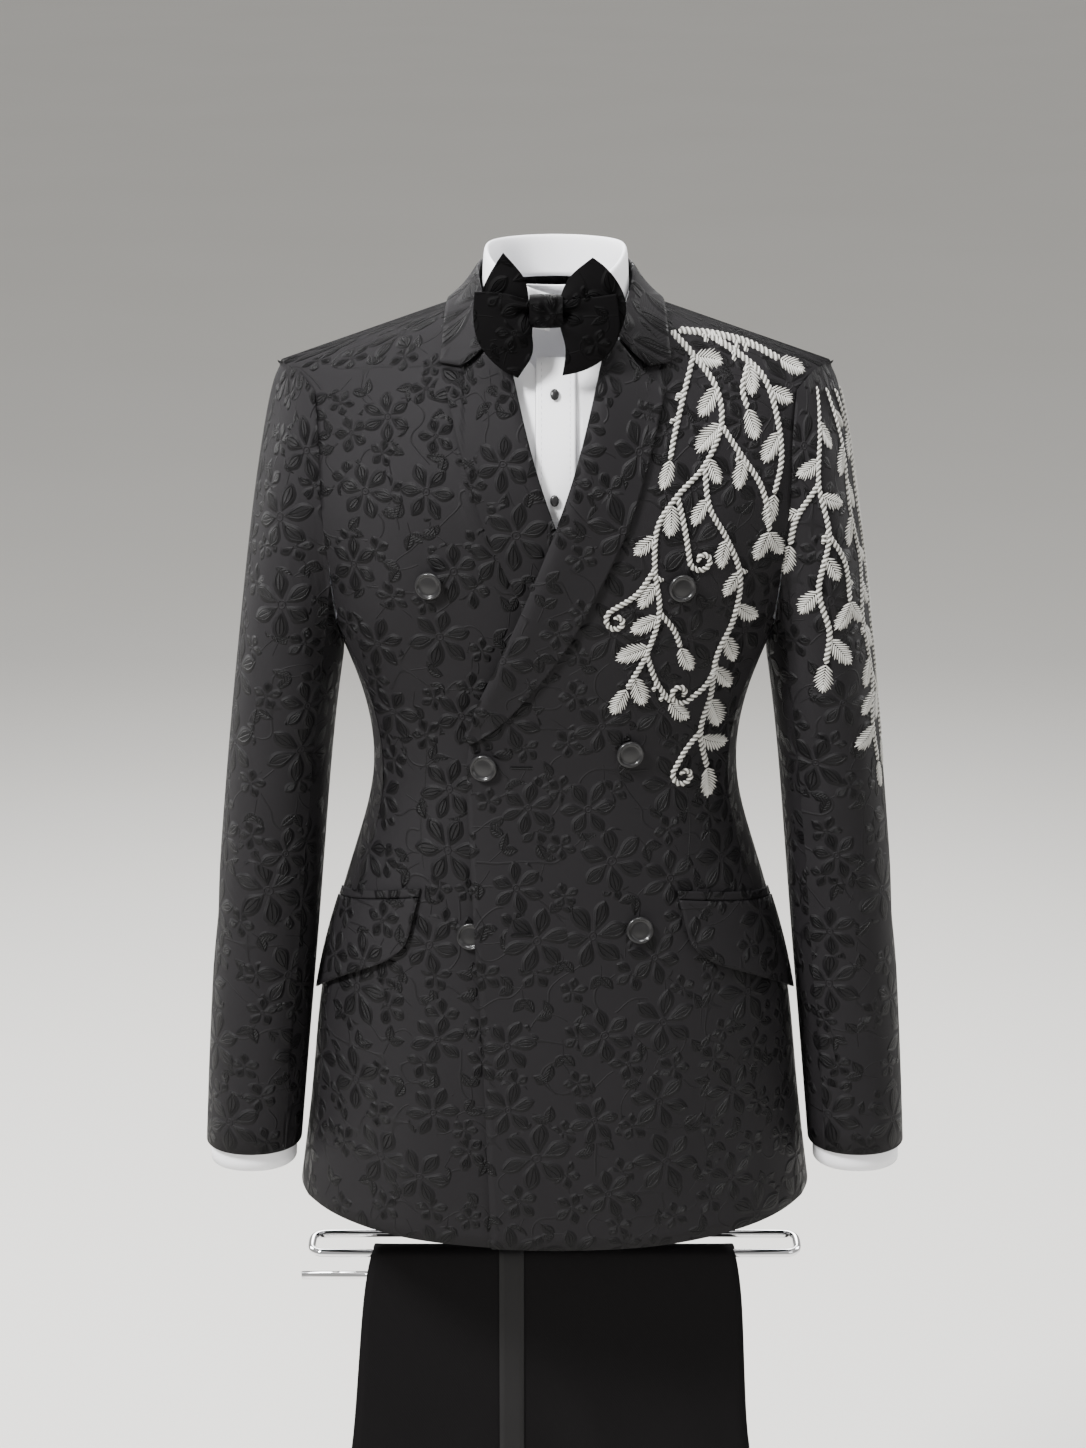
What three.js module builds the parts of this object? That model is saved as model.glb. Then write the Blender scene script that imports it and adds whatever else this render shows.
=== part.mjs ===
// A double-breasted tuxedo as it is worn, with nobody in it: jacket, dress shirt, bow tie,
// and trousers folded over a chrome trouser bar below the jacket's hem.
// Millimetres, +Z up. The wearer faces -Y and the wearer's left is +X.
// The origin lies midway between the two side neck points, at the height of the shoulders.
import * as THREE from "three";

// Driving sizes of the cloth and of the whole figure.
const JACKET_WALL = 2.2;
const SHIRT_WALL = 1.2;
const SEAM_GAP = 0.34;
const NECK_HALF_WIDTH = 75;
const SHOULDER_HALF_WIDTH = 229;
const SHOULDER_DROP = 54;
const NECK_RISE = 26;
const ARMHOLE_JOIN = -262;
const ARMHOLE_DEPTH = 32;
const ROUNDNESS = 2.4;
const SIDE_HEM = -778;
const FRONT_HEM_DIP = 18;
const BACK_HEM_DIP = 12;
const SHIRT_HEM = -640;

// Half width, front depth and back depth of the jacket's outside at each height.
const BODY = [
  { z: -800, halfWidth: 226, front: 128, back: 138 },
  { z: -700, halfWidth: 213, front: 126, back: 136 },
  { z: -600, halfWidth: 203, front: 120, back: 130 },
  { z: -540, halfWidth: 191, front: 114, back: 122 },
  { z: -480, halfWidth: 173, front: 108, back: 110 },
  { z: -430, halfWidth: 159, front: 104, back: 98 },
  { z: -385, halfWidth: 154, front: 103, back: 92 },
  { z: -340, halfWidth: 160, front: 106, back: 94 },
  { z: -300, halfWidth: 174, front: 111, back: 102 },
  { z: -250, halfWidth: 197, front: 116, back: 112 },
  { z: -190, halfWidth: 213, front: 119, back: 118 },
  { z: -113, halfWidth: 222, front: 120, back: 120 },
  { z: -54, halfWidth: 232, front: 120, back: 120 },
  { z: 40, halfWidth: 235, front: 120, back: 120 },
];

// How far the armhole reaches forwards and backwards at each height.
const ARMHOLE = [
  { z: -262, front: 48, back: 52 },
  { z: -230, front: 60, back: 63 },
  { z: -190, front: 62, back: 65 },
  { z: -150, front: 57, back: 60 },
  { z: -113, front: 47, back: 50 },
  { z: -82, front: 34, back: 36 },
  { z: -65, front: 22, back: 23 },
  { z: -54, front: 0, back: 0 },
];

// The left front's free edge, then its roll line, then the neckline under the collar.
const FRONT_EDGE = [
  { z: -800, x: -54 },
  { z: -700, x: -58 },
  { z: -600, x: -62 },
  { z: -500, x: -68 },
  { z: -430, x: -72 },
  { z: -357, x: -74 },
  { z: -330, x: -65 },
  { z: -300, x: -52 },
  { z: -250, x: -29 },
  { z: -193, x: -5 },
  { z: -130, x: 17 },
  { z: -89, x: 28 },
  { z: -60, x: 36 },
  { z: -40, x: 43 },
  { z: -25, x: 52 },
  { z: -10, x: 63 },
  { z: 0, x: 75 },
];

// How far the right front lies under the left one at each height.
const UNDERLAP = [
  { z: -800, depth: 3 },
  { z: -430, depth: 3 },
  { z: -360, depth: 7.4 },
  { z: -200, depth: 7.4 },
  { z: -175, depth: 5.4 },
  { z: -130, depth: 1.5 },
  { z: 0, depth: 0 },
];

// The shirt's distance inside the jacket's outside surface.
const SHIRT_INSET = [
  { z: -800, depth: 14 },
  { z: -200, depth: 14 },
  { z: -120, depth: 9 },
  { z: -60, depth: 7 },
  { z: -20, depth: 6 },
  { z: 40, depth: 5 },
];

// The lapel: where it rolls, and where its outer edge lies, row by row from the break to the gorge.
const LAPEL = [
  { rollX: -74, rollZ: -353, edgeX: -69, edgeZ: -355 },
  { rollX: -65, rollZ: -330, edgeX: -44, edgeZ: -337 },
  { rollX: -52, rollZ: -300, edgeX: -12, edgeZ: -299 },
  { rollX: -37, rollZ: -268, edgeX: 13, edgeZ: -264 },
  { rollX: -18, rollZ: -223, edgeX: 37, edgeZ: -217 },
  { rollX: 1, rollZ: -176, edgeX: 60, edgeZ: -167 },
  { rollX: 18, rollZ: -127, edgeX: 75, edgeZ: -118 },
  { rollX: 30, rollZ: -82, edgeX: 84, edgeZ: -82 },
  { rollX: 38, rollZ: -48, edgeX: 88, edgeZ: -67 },
  { rollX: 44.5, rollZ: -23, edgeX: 88.5, edgeZ: -64 },
];
const GORGE = { x: 69, z: -52, share: 0.55 };

// The jacket collar at stations from the centre back to its front end: its fold, its outer edge and the
// foot of its stand.
const COLLAR = [
  { foldX: 0, foldY: 66, foldZ: 31, edgeX: 0, edgeZ: -14, footX: 0, footY: 70, footZ: -1 },
  { foldX: 25, foldY: 61, foldZ: 30.5, edgeX: 36, edgeZ: -13, footX: 27, footY: 65, footZ: -0.6 },
  { foldX: 46, foldY: 47, foldZ: 29.5, edgeX: 64, edgeZ: -11, footX: 51, footY: 51, footZ: 0 },
  { foldX: 60, foldY: 26, foldZ: 28, edgeX: 82, edgeZ: -6, footX: 68, footY: 28, footZ: 1 },
  { foldX: 64.5, foldY: 0, foldZ: 25, edgeX: 88, edgeZ: -5, footX: 71, footY: 0, footZ: 2.5 },
  { foldX: 63, foldY: -22, foldZ: 15, edgeX: 89.5, edgeZ: -14, footX: 66, footY: -20, footZ: -1.5 },
  { foldX: 56.5, foldY: -42, foldZ: -1, edgeX: 91, edgeZ: -32, footX: 57, footY: -38, footZ: -13 },
  { foldX: 48, foldY: -57, foldZ: -19, edgeX: 93, edgeZ: -47, footX: 48.5, footY: -53, footZ: -28 },
];
const COLLAR_NOTCH = { x: 70, z: -48.5 };

// The sleeve's outer and inner profile seen from the front, and its depth seen from the side.
const SLEEVE_OUTER = [
  { z: -734, x: 304 },
  { z: -700, x: 302.5 },
  { z: -617, x: 298 },
  { z: -525, x: 291 },
  { z: -435, x: 283 },
  { z: -346, x: 274 },
  { z: -258, x: 263.5 },
  { z: -172, x: 253 },
  { z: -100, x: 242 },
  { z: -75, x: 238 },
  { z: -62, x: 235.5 },
  { z: -54, x: 230 },
];
const SLEEVE_INNER = [
  { z: -734, x: 220 },
  { z: -700, x: 217 },
  { z: -617, x: 209.5 },
  { z: -571, x: 205 },
  { z: -480, x: 197 },
  { z: -399, x: 190 },
  { z: -346, x: 184 },
  { z: -320, x: 180.5 },
  { z: -300, x: 178 },
  { z: -294, x: 177.6 },
];
const SLEEVE_DEPTH = [
  { z: -734, half: 45, middle: -23 },
  { z: -600, half: 53, middle: -13 },
  { z: -450, half: 61, middle: -4 },
  { z: -330, half: 68, middle: 1 },
  { z: -240, half: 70, middle: 2 },
  { z: -170, half: 66, middle: 1 },
];
// Each sleeve ring tilts from the armhole to level: its top, its bottom, and its share of the armhole's
// shape.
const SLEEVE_RINGS = [
  { top: -54, bottom: -294, armhole: 1 },
  { top: -60, bottom: -297, armhole: 0.84 },
  { top: -78, bottom: -302, armhole: 0.52 },
  { top: -110, bottom: -311, armhole: 0.22 },
  { top: -160, bottom: -326, armhole: 0.05 },
  { top: -225, bottom: -346, armhole: 0 },
  { top: -295, bottom: -374, armhole: 0 },
  { top: -365, bottom: -411, armhole: 0 },
  { top: -435, bottom: -458, armhole: 0 },
  { top: -505, bottom: -512, armhole: 0 },
  { top: -580, bottom: -581, armhole: 0 },
  { top: -660, bottom: -660, armhole: 0 },
  { top: -734, bottom: -734, armhole: 0 },
];
// The sleeve's two seams, counted in steps round the armhole from the shoulder forwards.
const SLEEVE_STEPS = 22;
const SLEEVE_SEAM_FRONT = 8;
const SLEEVE_SEAM_BACK = 17;

const CLOTH = { roughness: 0.72, metalness: 0 };
const MATERIALS = {
  jacquard: new THREE.MeshStandardMaterial({ color: 0x1b1a1c, ...CLOTH }),
  shirt: new THREE.MeshStandardMaterial({ color: 0xf2f1f6, ...CLOTH }),
  bow: new THREE.MeshStandardMaterial({ color: 0x141315, ...CLOTH }),
  trousers: new THREE.MeshStandardMaterial({ color: 0x151416, ...CLOTH }),
  satin: new THREE.MeshStandardMaterial({ color: 0x29282b, roughness: 0.4, metalness: 0 }),
  button: new THREE.MeshStandardMaterial({ color: 0x2b2b2d, roughness: 0.35, metalness: 0 }),
  chrome: new THREE.MeshStandardMaterial({ color: 0xd6d7da, roughness: 0.12, metalness: 1 }),
};

const tuxedo = new THREE.Group();

// Small numeric helpers.
const mix = (a, b, share) => a + (b - a) * share;
const clamp = (value, low, high) => Math.min(high, Math.max(low, value));
const radians = (degrees) => (degrees * Math.PI) / 180;
function ease(low, high, value) {
  const t = clamp((value - low) / (high - low), 0, 1);
  return t * t * (3 - 2 * t);
}
const signedPower = (value, power) => Math.sign(value) * Math.abs(value) ** power;
const range = (count) => Array.from({ length: count + 1 }, (_, i) => i / count);
const vector = (x, y, z) => new THREE.Vector3(x, y, z);

// A smooth curve through one column of a table, read by another column that grows or falls all the way.
function column(table, key, name) {
  const rows = [...table].sort((a, b) => a[key] - b[key]);
  const last = rows.length - 1;
  const slope = (i) => {
    const before = rows[Math.max(i - 1, 0)];
    const after = rows[Math.min(i + 1, last)];
    return (after[name] - before[name]) / (after[key] - before[key]);
  };
  return (at) => {
    if (at <= rows[0][key]) return rows[0][name];
    if (at >= rows[last][key]) return rows[last][name];
    const i = rows.findIndex((row, k) => k < last && at <= rows[k + 1][key]);
    const span = rows[i + 1][key] - rows[i][key];
    const t = (at - rows[i][key]) / span;
    const a = rows[i][name];
    const b = rows[i + 1][name];
    const rise = span * (slope(i) * t * (1 - t) ** 2 - slope(i + 1) * t ** 2 * (1 - t));
    return a + (b - a) * t * t * (3 - 2 * t) + rise;
  };
}

// The same, read by the row's place in the table, from 0 at the first row to 1 at the last.
function alongTable(table, name) {
  const last = table.length - 1;
  return column(table.map((row, i) => ({ at: i / last, [name]: row[name] })), "at", name);
}

const bodyHalfWidth = column(BODY, "z", "halfWidth");
const bodyDepth = { "-1": column(BODY, "z", "front"), 1: column(BODY, "z", "back") };
const armholeReach = { "-1": column(ARMHOLE, "z", "front"), 1: column(ARMHOLE, "z", "back") };
const frontEdge = column(FRONT_EDGE, "z", "x");
const underlap = column(UNDERLAP, "z", "depth");
const shirtInset = column(SHIRT_INSET, "z", "depth");
const SHOULDER_SLOPE = { "-1": { reach: 220, power: 0.68 }, 1: { reach: 150, power: 0.55 } };

// Height of the ridge that runs from the neck over the shoulder.
function shoulderLine(x) {
  const across = Math.abs(x);
  if (across < NECK_HALF_WIDTH) return NECK_RISE * (1 - (across / NECK_HALF_WIDTH) ** 2);
  return (-SHOULDER_DROP * (across - NECK_HALF_WIDTH)) / (SHOULDER_HALF_WIDTH - NECK_HALF_WIDTH);
}

// Depth of the torso in front of (side -1) or behind (side 1) the shoulder ridge.
function torsoDepth(side, x, z) {
  const { reach, power } = SHOULDER_SLOPE[side];
  const below = clamp((shoulderLine(x) - z) / reach, 0, 1);
  return bodyDepth[side](z) * (1 - (1 - below) ** 2) ** power;
}

function torsoPoint(side, x, z) {
  const across = clamp(Math.abs(x) / bodyHalfWidth(z), 0, 1);
  return vector(x, side * torsoDepth(side, x, z) * (1 - across ** ROUNDNESS) ** (1 / ROUNDNESS), z);
}

// The point of the torso at an angle round it: 0 is the middle of that side, 90 degrees the flank.
function torsoRing(side, angle, z) {
  const x = bodyHalfWidth(z) * signedPower(Math.sin(angle), 2 / ROUNDNESS);
  return vector(x, side * torsoDepth(side, x, z) * Math.abs(Math.cos(angle)) ** (2 / ROUNDNESS), z);
}

// Outward normal of the torso, from the slope of its implicit form.
function torsoNormal(p) {
  const side = p.y > 0 ? 1 : -1;
  const level = (x, y, z) =>
    (Math.abs(x) / bodyHalfWidth(z)) ** ROUNDNESS +
    (Math.abs(y) / Math.max(torsoDepth(side, x, z), 1)) ** ROUNDNESS;
  const step = 0.5;
  const n = vector(
    level(p.x + step, p.y, p.z) - level(p.x - step, p.y, p.z),
    level(p.x, p.y + step, p.z) - level(p.x, p.y - step, p.z),
    level(p.x, p.y, p.z + step) - level(p.x, p.y, p.z - step),
  );
  if (shoulderLine(p.x) - p.z < 3) return vector(Math.sign(p.x) * 0.35, 0, 1).normalize();
  return n.normalize();
}

// How far across the armhole's edge lies at a height, on one side of the shoulder ridge.
function armholeX(side, z) {
  let x = bodyHalfWidth(z);
  for (let i = 0; i < 12; i++) {
    const share = clamp(armholeReach[side](z) / Math.max(torsoDepth(side, x, z), 0.01), 0, 0.97);
    x = mix(x, bodyHalfWidth(z) * (1 - share ** ROUNDNESS) ** (1 / ROUNDNESS), 0.6);
  }
  return Math.min(x, SHOULDER_HALF_WIDTH);
}

// Points at equal distances along a row that is given as a function from 0 to 1.
function evenRow(pointAt, count) {
  const fine = range(60).map(pointAt);
  const lengths = [0];
  for (let i = 1; i < fine.length; i++) lengths.push(lengths[i - 1] + fine[i].distanceTo(fine[i - 1]));
  return range(count).map((share) => {
    const goal = share * lengths[lengths.length - 1];
    const i = clamp(lengths.findIndex((length) => length >= goal), 1, fine.length - 1);
    const span = Math.max(lengths[i] - lengths[i - 1], 1e-9);
    return fine[i - 1].clone().lerp(fine[i], (goal - lengths[i - 1]) / span);
  });
}

// Normals of a grid of points, from its rows and columns; wrap says that each row closes on itself.
function gridNormals(grid, wrap) {
  const at = (i, j) => {
    const row = grid[clamp(i, 0, grid.length - 1)];
    return wrap ? row[(j + row.length) % row.length] : row[clamp(j, 0, row.length - 1)];
  };
  return grid.map((row, i) =>
    row.map((_, j) => {
      const along = at(i + 1, j).clone().sub(at(i - 1, j));
      const across = at(i, j + 1).clone().sub(at(i, j - 1));
      return across.cross(along).normalize();
    }),
  );
}

// Draws the outline of a grid in by half a seam's gap, along the grid itself.
function drawIn(grid, gap, wrap) {
  const nudge = (from, towards) => {
    const step = towards.clone().sub(from);
    from.addScaledVector(step.normalize(), gap / 2);
  };
  const last = grid.length - 1;
  grid[0].forEach((p, j) => nudge(p, grid[1][j]));
  grid[last].forEach((p, j) => nudge(p, grid[last - 1][j]));
  if (wrap) return;
  const end = grid[0].length - 1;
  grid.forEach((row) => {
    nudge(row[0], row[1]);
    nudge(row[end], row[end - 1]);
  });
}

// A closed geometry from vertices and triangles, turned so that its faces point out.
function solidFrom(points, triangles) {
  let volume = 0;
  for (const [a, b, c] of triangles) volume += points[a].dot(points[b].clone().cross(points[c]));
  const faces = volume < 0 ? triangles.map(([a, b, c]) => [a, c, b]) : triangles;
  const geometry = new THREE.BufferGeometry();
  geometry.setAttribute("position", new THREE.Float32BufferAttribute(points.flatMap((p) => p.toArray()), 3));
  geometry.setIndex(faces.flat());
  geometry.computeVertexNormals();
  return geometry;
}

function addMesh(name, geometry, material) {
  const mesh = new THREE.Mesh(geometry, material);
  mesh.name = name;
  tuxedo.add(mesh);
  return mesh;
}

// A cloth wall: the outer grid, the same grid moved in by the wall's thickness, and the rims between them.
function wallGeometry(outer, normals, thickness, wrap = false) {
  const rows = outer.length;
  const columns = outer[0].length;
  const inner = outer.map((row, i) =>
    row.map((p, j) => p.clone().addScaledVector(normals[i][j], -thickness)),
  );
  const points = [...outer.flat(), ...inner.flat()];
  const offset = rows * columns;
  const triangles = [];
  const quad = (a, b, c, d) => triangles.push([a, b, c], [a, c, d]);
  const id = (i, j) => i * columns + (j % columns);
  const spans = wrap ? columns : columns - 1;
  for (let i = 0; i < rows - 1; i++) {
    for (let j = 0; j < spans; j++) {
      const corners = [id(i, j), id(i, j + 1), id(i + 1, j + 1), id(i + 1, j)];
      quad(...corners);
      quad(...corners.map((v) => v + offset).reverse());
    }
  }
  for (let j = 0; j < spans; j++) {
    const top = rows - 1;
    quad(id(0, j + 1), id(0, j), id(0, j) + offset, id(0, j + 1) + offset);
    quad(id(top, j), id(top, j + 1), id(top, j + 1) + offset, id(top, j) + offset);
  }
  for (let i = 0; !wrap && i < rows - 1; i++) {
    const end = columns - 1;
    quad(id(i, 0), id(i + 1, 0), id(i + 1, 0) + offset, id(i, 0) + offset);
    quad(id(i + 1, end), id(i, end), id(i, end) + offset, id(i + 1, end) + offset);
  }
  return solidFrom(points, triangles);
}

const turned = (normals) => normals.map((row) => row.map((n) => n.negate()));
const mirrored = (grid) => grid.map((row) => row.map((p) => vector(-p.x, p.y, p.z)));

// Moves a grid on the torso in or out along the torso's normals.
function offsetGrid(grid, distance) {
  return grid.map((row) =>
    row.map((p) => p.clone().addScaledVector(torsoNormal(p), distance(p))),
  );
}

// A torso panel's grid. Lower rows climb from the hem to the armhole's foot, and upper rows fan out to the
// shoulder.
function torsoPanel({ side, innerX, outerY, hem, top, lowRows, highRows, columns }) {
  const grid = [];
  for (const climb of range(lowRows).slice(0, -1)) {
    const level = (angle) => mix(hem(angle), ARMHOLE_JOIN, climb);
    const startX = innerX(level(0));
    const start = Math.asin(signedPower(startX / bodyHalfWidth(level(0)), ROUNDNESS / 2));
    const reach = outerY(level(Math.PI / 2)) / bodyDepth[side](level(Math.PI / 2));
    const end = Math.acos(reach ** (ROUNDNESS / 2));
    grid.push(
      evenRow((t) => {
        const angle = mix(start, end, t);
        return torsoRing(side, angle, level(angle));
      }, columns),
    );
  }
  for (const share of range(highRows)) {
    const climb = 1 - (1 - share) ** 1.3;
    const level = (x) => mix(ARMHOLE_JOIN, top(x), climb);
    let startX = 0;
    let endX = SHOULDER_HALF_WIDTH;
    for (let i = 0; i < 40; i++) {
      startX = mix(startX, innerX(level(startX)), 0.4);
      endX = mix(endX, armholeX(side, level(endX)), 0.4);
    }
    if (climb === 1) endX = SHOULDER_HALF_WIDTH;
    grid.push(
      evenRow((t) => {
        const x = mix(startX, endX, mix(Math.sin((t * Math.PI) / 2), t, climb));
        return torsoPoint(side, x, level(x));
      }, columns),
    );
  }
  return grid;
}

const frontHem = (angle) => SIDE_HEM - FRONT_HEM_DIP * Math.cos(angle) ** 2;
const backHem = (angle) => SIDE_HEM - BACK_HEM_DIP * Math.cos(angle) ** 2;
const sideSeamFront = () => armholeReach["-1"](ARMHOLE_JOIN);
const sideSeamBack = () => armholeReach[1](ARMHOLE_JOIN);

// The lower button that the left front lies over lifts it a little.
const HIDDEN_BUTTON = { x: -71, z: -520 };
function liftOverButton(p) {
  const away = ((p.x - HIDDEN_BUTTON.x - 6) / 30) ** 2 + ((p.z - HIDDEN_BUTTON.z) / 34) ** 2;
  return 7.2 * Math.exp(-away);
}
const underLeftFront = (p) => -underlap(p.z) * ease(-170, -75, p.x);

const LOW_ROWS = 12;
const HIGH_ROWS = 9;
const frontPanel = () =>
  torsoPanel({
    side: -1,
    innerX: frontEdge,
    outerY: sideSeamFront,
    hem: frontHem,
    top: shoulderLine,
    lowRows: LOW_ROWS,
    highRows: HIGH_ROWS,
    columns: 12,
  });

// The back's top edge is the neckline near the middle and the shoulder seam further out.
const NAPE = -2;
function backTop(x) {
  if (Math.abs(x) >= NECK_HALF_WIDTH) return shoulderLine(x);
  return NAPE * (1 - (x / NECK_HALF_WIDTH) ** 2);
}
const backPanel = () =>
  torsoPanel({
    side: 1,
    innerX: () => 0,
    outerY: sideSeamBack,
    hem: backHem,
    top: backTop,
    lowRows: LOW_ROWS,
    highRows: HIGH_ROWS,
    columns: 9,
  });

// The side body spans the seams of the front and the back, and scoops down under the arm.
const VENT_TOP = -600;
const VENT_SPREAD = 5;
const SIDE_COLUMNS = 4;
function sidePanel() {
  const front = frontPanel().slice(0, LOW_ROWS + 1).map((row) => row[row.length - 1]);
  const back = backPanel().slice(0, LOW_ROWS + 1).map((row) => row[row.length - 1]);
  return front.map((start, i) =>
    range(SIDE_COLUMNS).map((t) => {
      if (t === 0) return start.clone();
      const climb = i / LOW_ROWS;
      const scoop = ARMHOLE_DEPTH * Math.sin(Math.PI * t) * ease(0.55, 1, climb);
      const z = mix(start.z, back[i].z, t) - scoop;
      const spread = VENT_SPREAD * ease(0.6, 1, t) * clamp((VENT_TOP - z) / 180, 0, 1);
      if (t === 1) return back[i].clone().sub(vector(0, spread, 0));
      const y = mix(start.y, back[i].y, t) - spread;
      const side = y > 0 ? 1 : -1;
      const share = Math.abs(y) / bodyDepth[side](z);
      return vector(bodyHalfWidth(z) * (1 - share ** ROUNDNESS) ** (1 / ROUNDNESS), y, z);
    }),
  );
}

function addJacketBody() {
  const still = () => 0;
  const pieces = [
    ["jacket_front_left", frontPanel(), liftOverButton],
    ["jacket_front_right", mirrored(frontPanel()), underLeftFront],
    ["jacket_side_left", sidePanel(), still],
    ["jacket_side_right", mirrored(sidePanel()), still],
    ["jacket_back_left", backPanel(), still],
    ["jacket_back_right", mirrored(backPanel()), still],
  ];
  for (const [name, panel, lift] of pieces) {
    const normals = panel.map((row) => row.map(torsoNormal));
    const grid = offsetGrid(panel, lift);
    drawIn(grid, SEAM_GAP);
    addMesh(name, wallGeometry(grid, normals, JACKET_WALL), MATERIALS.jacquard);
  }
}

// The points of the left armhole, from the shoulder down the front, under the arm and up the back.
function armholeEdge() {
  const front = frontPanel().slice(LOW_ROWS).map((row) => row[row.length - 1]);
  const back = backPanel().slice(LOW_ROWS).map((row) => row[row.length - 1]);
  const under = sidePanel()[LOW_ROWS].slice(1, SIDE_COLUMNS);
  return [...front.reverse(), ...under, ...back.slice(0, HIGH_ROWS)];
}

const sleeveOuter = column(SLEEVE_OUTER, "z", "x");
const sleeveInner = column(SLEEVE_INNER, "z", "x");
const sleeveHalfDepth = column(SLEEVE_DEPTH, "z", "half");
const sleeveMiddle = column(SLEEVE_DEPTH, "z", "middle");
const SLEEVE_CLEARANCE = vector(0.6, 0, 0.4);
const SLEEVE_ROUNDNESS = 2.15;
const ARMHOLE_MIDDLE = -178;

// The sleeve's rings of points: each starts at the shoulder and runs forwards round the arm.
function sleeveRings() {
  const edge = armholeEdge();
  return SLEEVE_RINGS.map((ring) =>
    edge.map((start, k) => {
      const seen = Math.atan2(-start.y, start.z - ARMHOLE_MIDDLE);
      const even = (k / SLEEVE_STEPS) * 2 * Math.PI;
      const angle = mix(even, (seen + 2 * Math.PI) % (2 * Math.PI), ring.armhole);
      const cosine = signedPower(Math.cos(angle), 2 / SLEEVE_ROUNDNESS);
      const sine = signedPower(Math.sin(angle), 2 / SLEEVE_ROUNDNESS);
      const outer = vector(sleeveOuter(ring.top), 0, ring.top);
      const inner = vector(sleeveInner(ring.bottom), 0, ring.bottom);
      const p = inner.lerp(outer, (1 + cosine) / 2);
      const level = (ring.top + ring.bottom) / 2;
      p.y = sleeveMiddle(level) - sleeveHalfDepth(level) * sine;
      const high = (1 + Math.cos(angle)) / 2;
      const from = start.clone().add(SLEEVE_CLEARANCE);
      from.x += (sleeveOuter(ring.top) - SHOULDER_HALF_WIDTH - 1) * high;
      from.z += (ring.top - SLEEVE_RINGS[0].top) * high;
      from.z += (ring.bottom - SLEEVE_RINGS[0].bottom) * (1 - high);
      return p.lerp(from, ring.armhole);
    }),
  );
}

// The two parts of a sleeve lean together at their seams, so they are drawn in further than flat seams.
const SLEEVE_SEAM_GAP = 4.6 * SEAM_GAP;
// The vent at the back seam springs open a little at the cuff.
const CUFF_FLARE = 4;
function flareAtVent(rings) {
  return rings.map((ring, i) =>
    ring.map((p, k) => {
      const near = Math.exp(-(((k - SLEEVE_SEAM_BACK - 1.5) / 1.6) ** 2));
      const away = CUFF_FLARE * near * ease(SLEEVE_RINGS.length - 3, SLEEVE_RINGS.length - 1, i);
      return p.clone().add(vector(away, away * 0.5, 0));
    }),
  );
}

// Takes some columns of a closed ring grid, counted on past its end.
function ringColumns(grid, from, to, step = 1) {
  const picked = range((to - from) / step).map((_, i) => from + i * step);
  return grid.map((row) => picked.map((k) => row[k % row.length].clone()));
}

function addSleeves() {
  const rings = flareAtVent(sleeveRings());
  const normals = gridNormals(rings, true);
  normals[0] = armholeEdge().map((p, k) => {
    const high = (1 + Math.cos((k / SLEEVE_STEPS) * 2 * Math.PI)) / 2;
    return normals[0][k].clone().lerp(torsoNormal(p), ease(0.3, 0.8, high)).normalize();
  });
  const pieces = [
    ["sleeve_top_", SLEEVE_SEAM_BACK, SLEEVE_SEAM_FRONT + SLEEVE_STEPS],
    ["sleeve_under_", SLEEVE_SEAM_FRONT, SLEEVE_SEAM_BACK],
  ];
  for (const [side, flip] of [["left", 1], ["right", -1]]) {
    for (const [name, from, to] of pieces) {
      const grid = ringColumns(rings, from, to);
      const outward = ringColumns(normals, from, to);
      drawIn(grid, SLEEVE_SEAM_GAP);
      [...grid.flat(), ...outward.flat()].forEach((v) => (v.x *= flip));
      addMesh(name + side, wallGeometry(grid, outward, JACKET_WALL), MATERIALS.jacquard);
    }
  }
}

// A lapel lies on its front: the first columns turn round the roll, the rest lie flat to the outer edge.
const LAPEL_LIE = 0.7;
const LAPEL_TURN = [
  { share: 0, inwards: 2.9, rise: -1.2 },
  { share: 0, inwards: 3.2, rise: 1.6 },
  { share: 0.07, inwards: 0.6, rise: 3.4 },
];
function addLapels() {
  const rows = 15;
  const columns = 6;
  const read = Object.fromEntries(
    ["rollX", "rollZ", "edgeX", "edgeZ"].map((name) => [name, alongTable(LAPEL, name)]),
  );
  for (const [name, flip, softness] of [["lapel_left", 1, 3.2], ["lapel_right", -1, 2.2]]) {
    const grid = range(rows).map((climb) => {
      const roll = { x: read.rollX(climb), z: read.rollZ(climb) };
      const edge = { x: read.edgeX(climb), z: read.edgeZ(climb) };
      const covered = flip < 0 ? ease(-180, -140, roll.z) : 1;
      const lift = softness * covered * ease(0, 0.25, climb);
      const place = (share, inwards, rise) => {
        const bend = ease(0.86, 1, climb);
        const straight = { x: mix(roll.x, edge.x, share), z: mix(roll.z, edge.z, share) };
        const half = share / GORGE.share;
        const notched =
          share < GORGE.share
            ? { x: mix(roll.x, GORGE.x, half), z: mix(roll.z, GORGE.z, half) }
            : {
                x: mix(GORGE.x, edge.x, (share - GORGE.share) / (1 - GORGE.share)),
                z: mix(GORGE.z, edge.z, (share - GORGE.share) / (1 - GORGE.share)),
              };
        const x = mix(straight.x, notched.x, bend) - inwards;
        const z = mix(straight.z, notched.z, bend);
        const p = torsoPoint(-1, x * flip, z);
        const base = flip < 0 ? underLeftFront(p) : 0;
        return p.addScaledVector(torsoNormal(p), base + rise);
      };
      const flat = LAPEL_LIE + JACKET_WALL;
      const turned = LAPEL_TURN.map(({ share, inwards, rise }, i) =>
        place(share, inwards, rise + (i === 2 ? lift * 0.6 : 0)),
      );
      const laid = range(columns)
        .slice(1)
        .map((share) => place(mix(0.07, 1, share), 0, flat + lift * (1 - share) ** 2));
      return [...turned, ...laid];
    });
    drawIn(grid, SEAM_GAP);
    const normals = gridNormals(grid, false).map((row) => row.map((n) => n.multiplyScalar(flip)));
    addMesh(name, wallGeometry(grid, normals, JACKET_WALL), MATERIALS.jacquard);
  }
}

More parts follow.
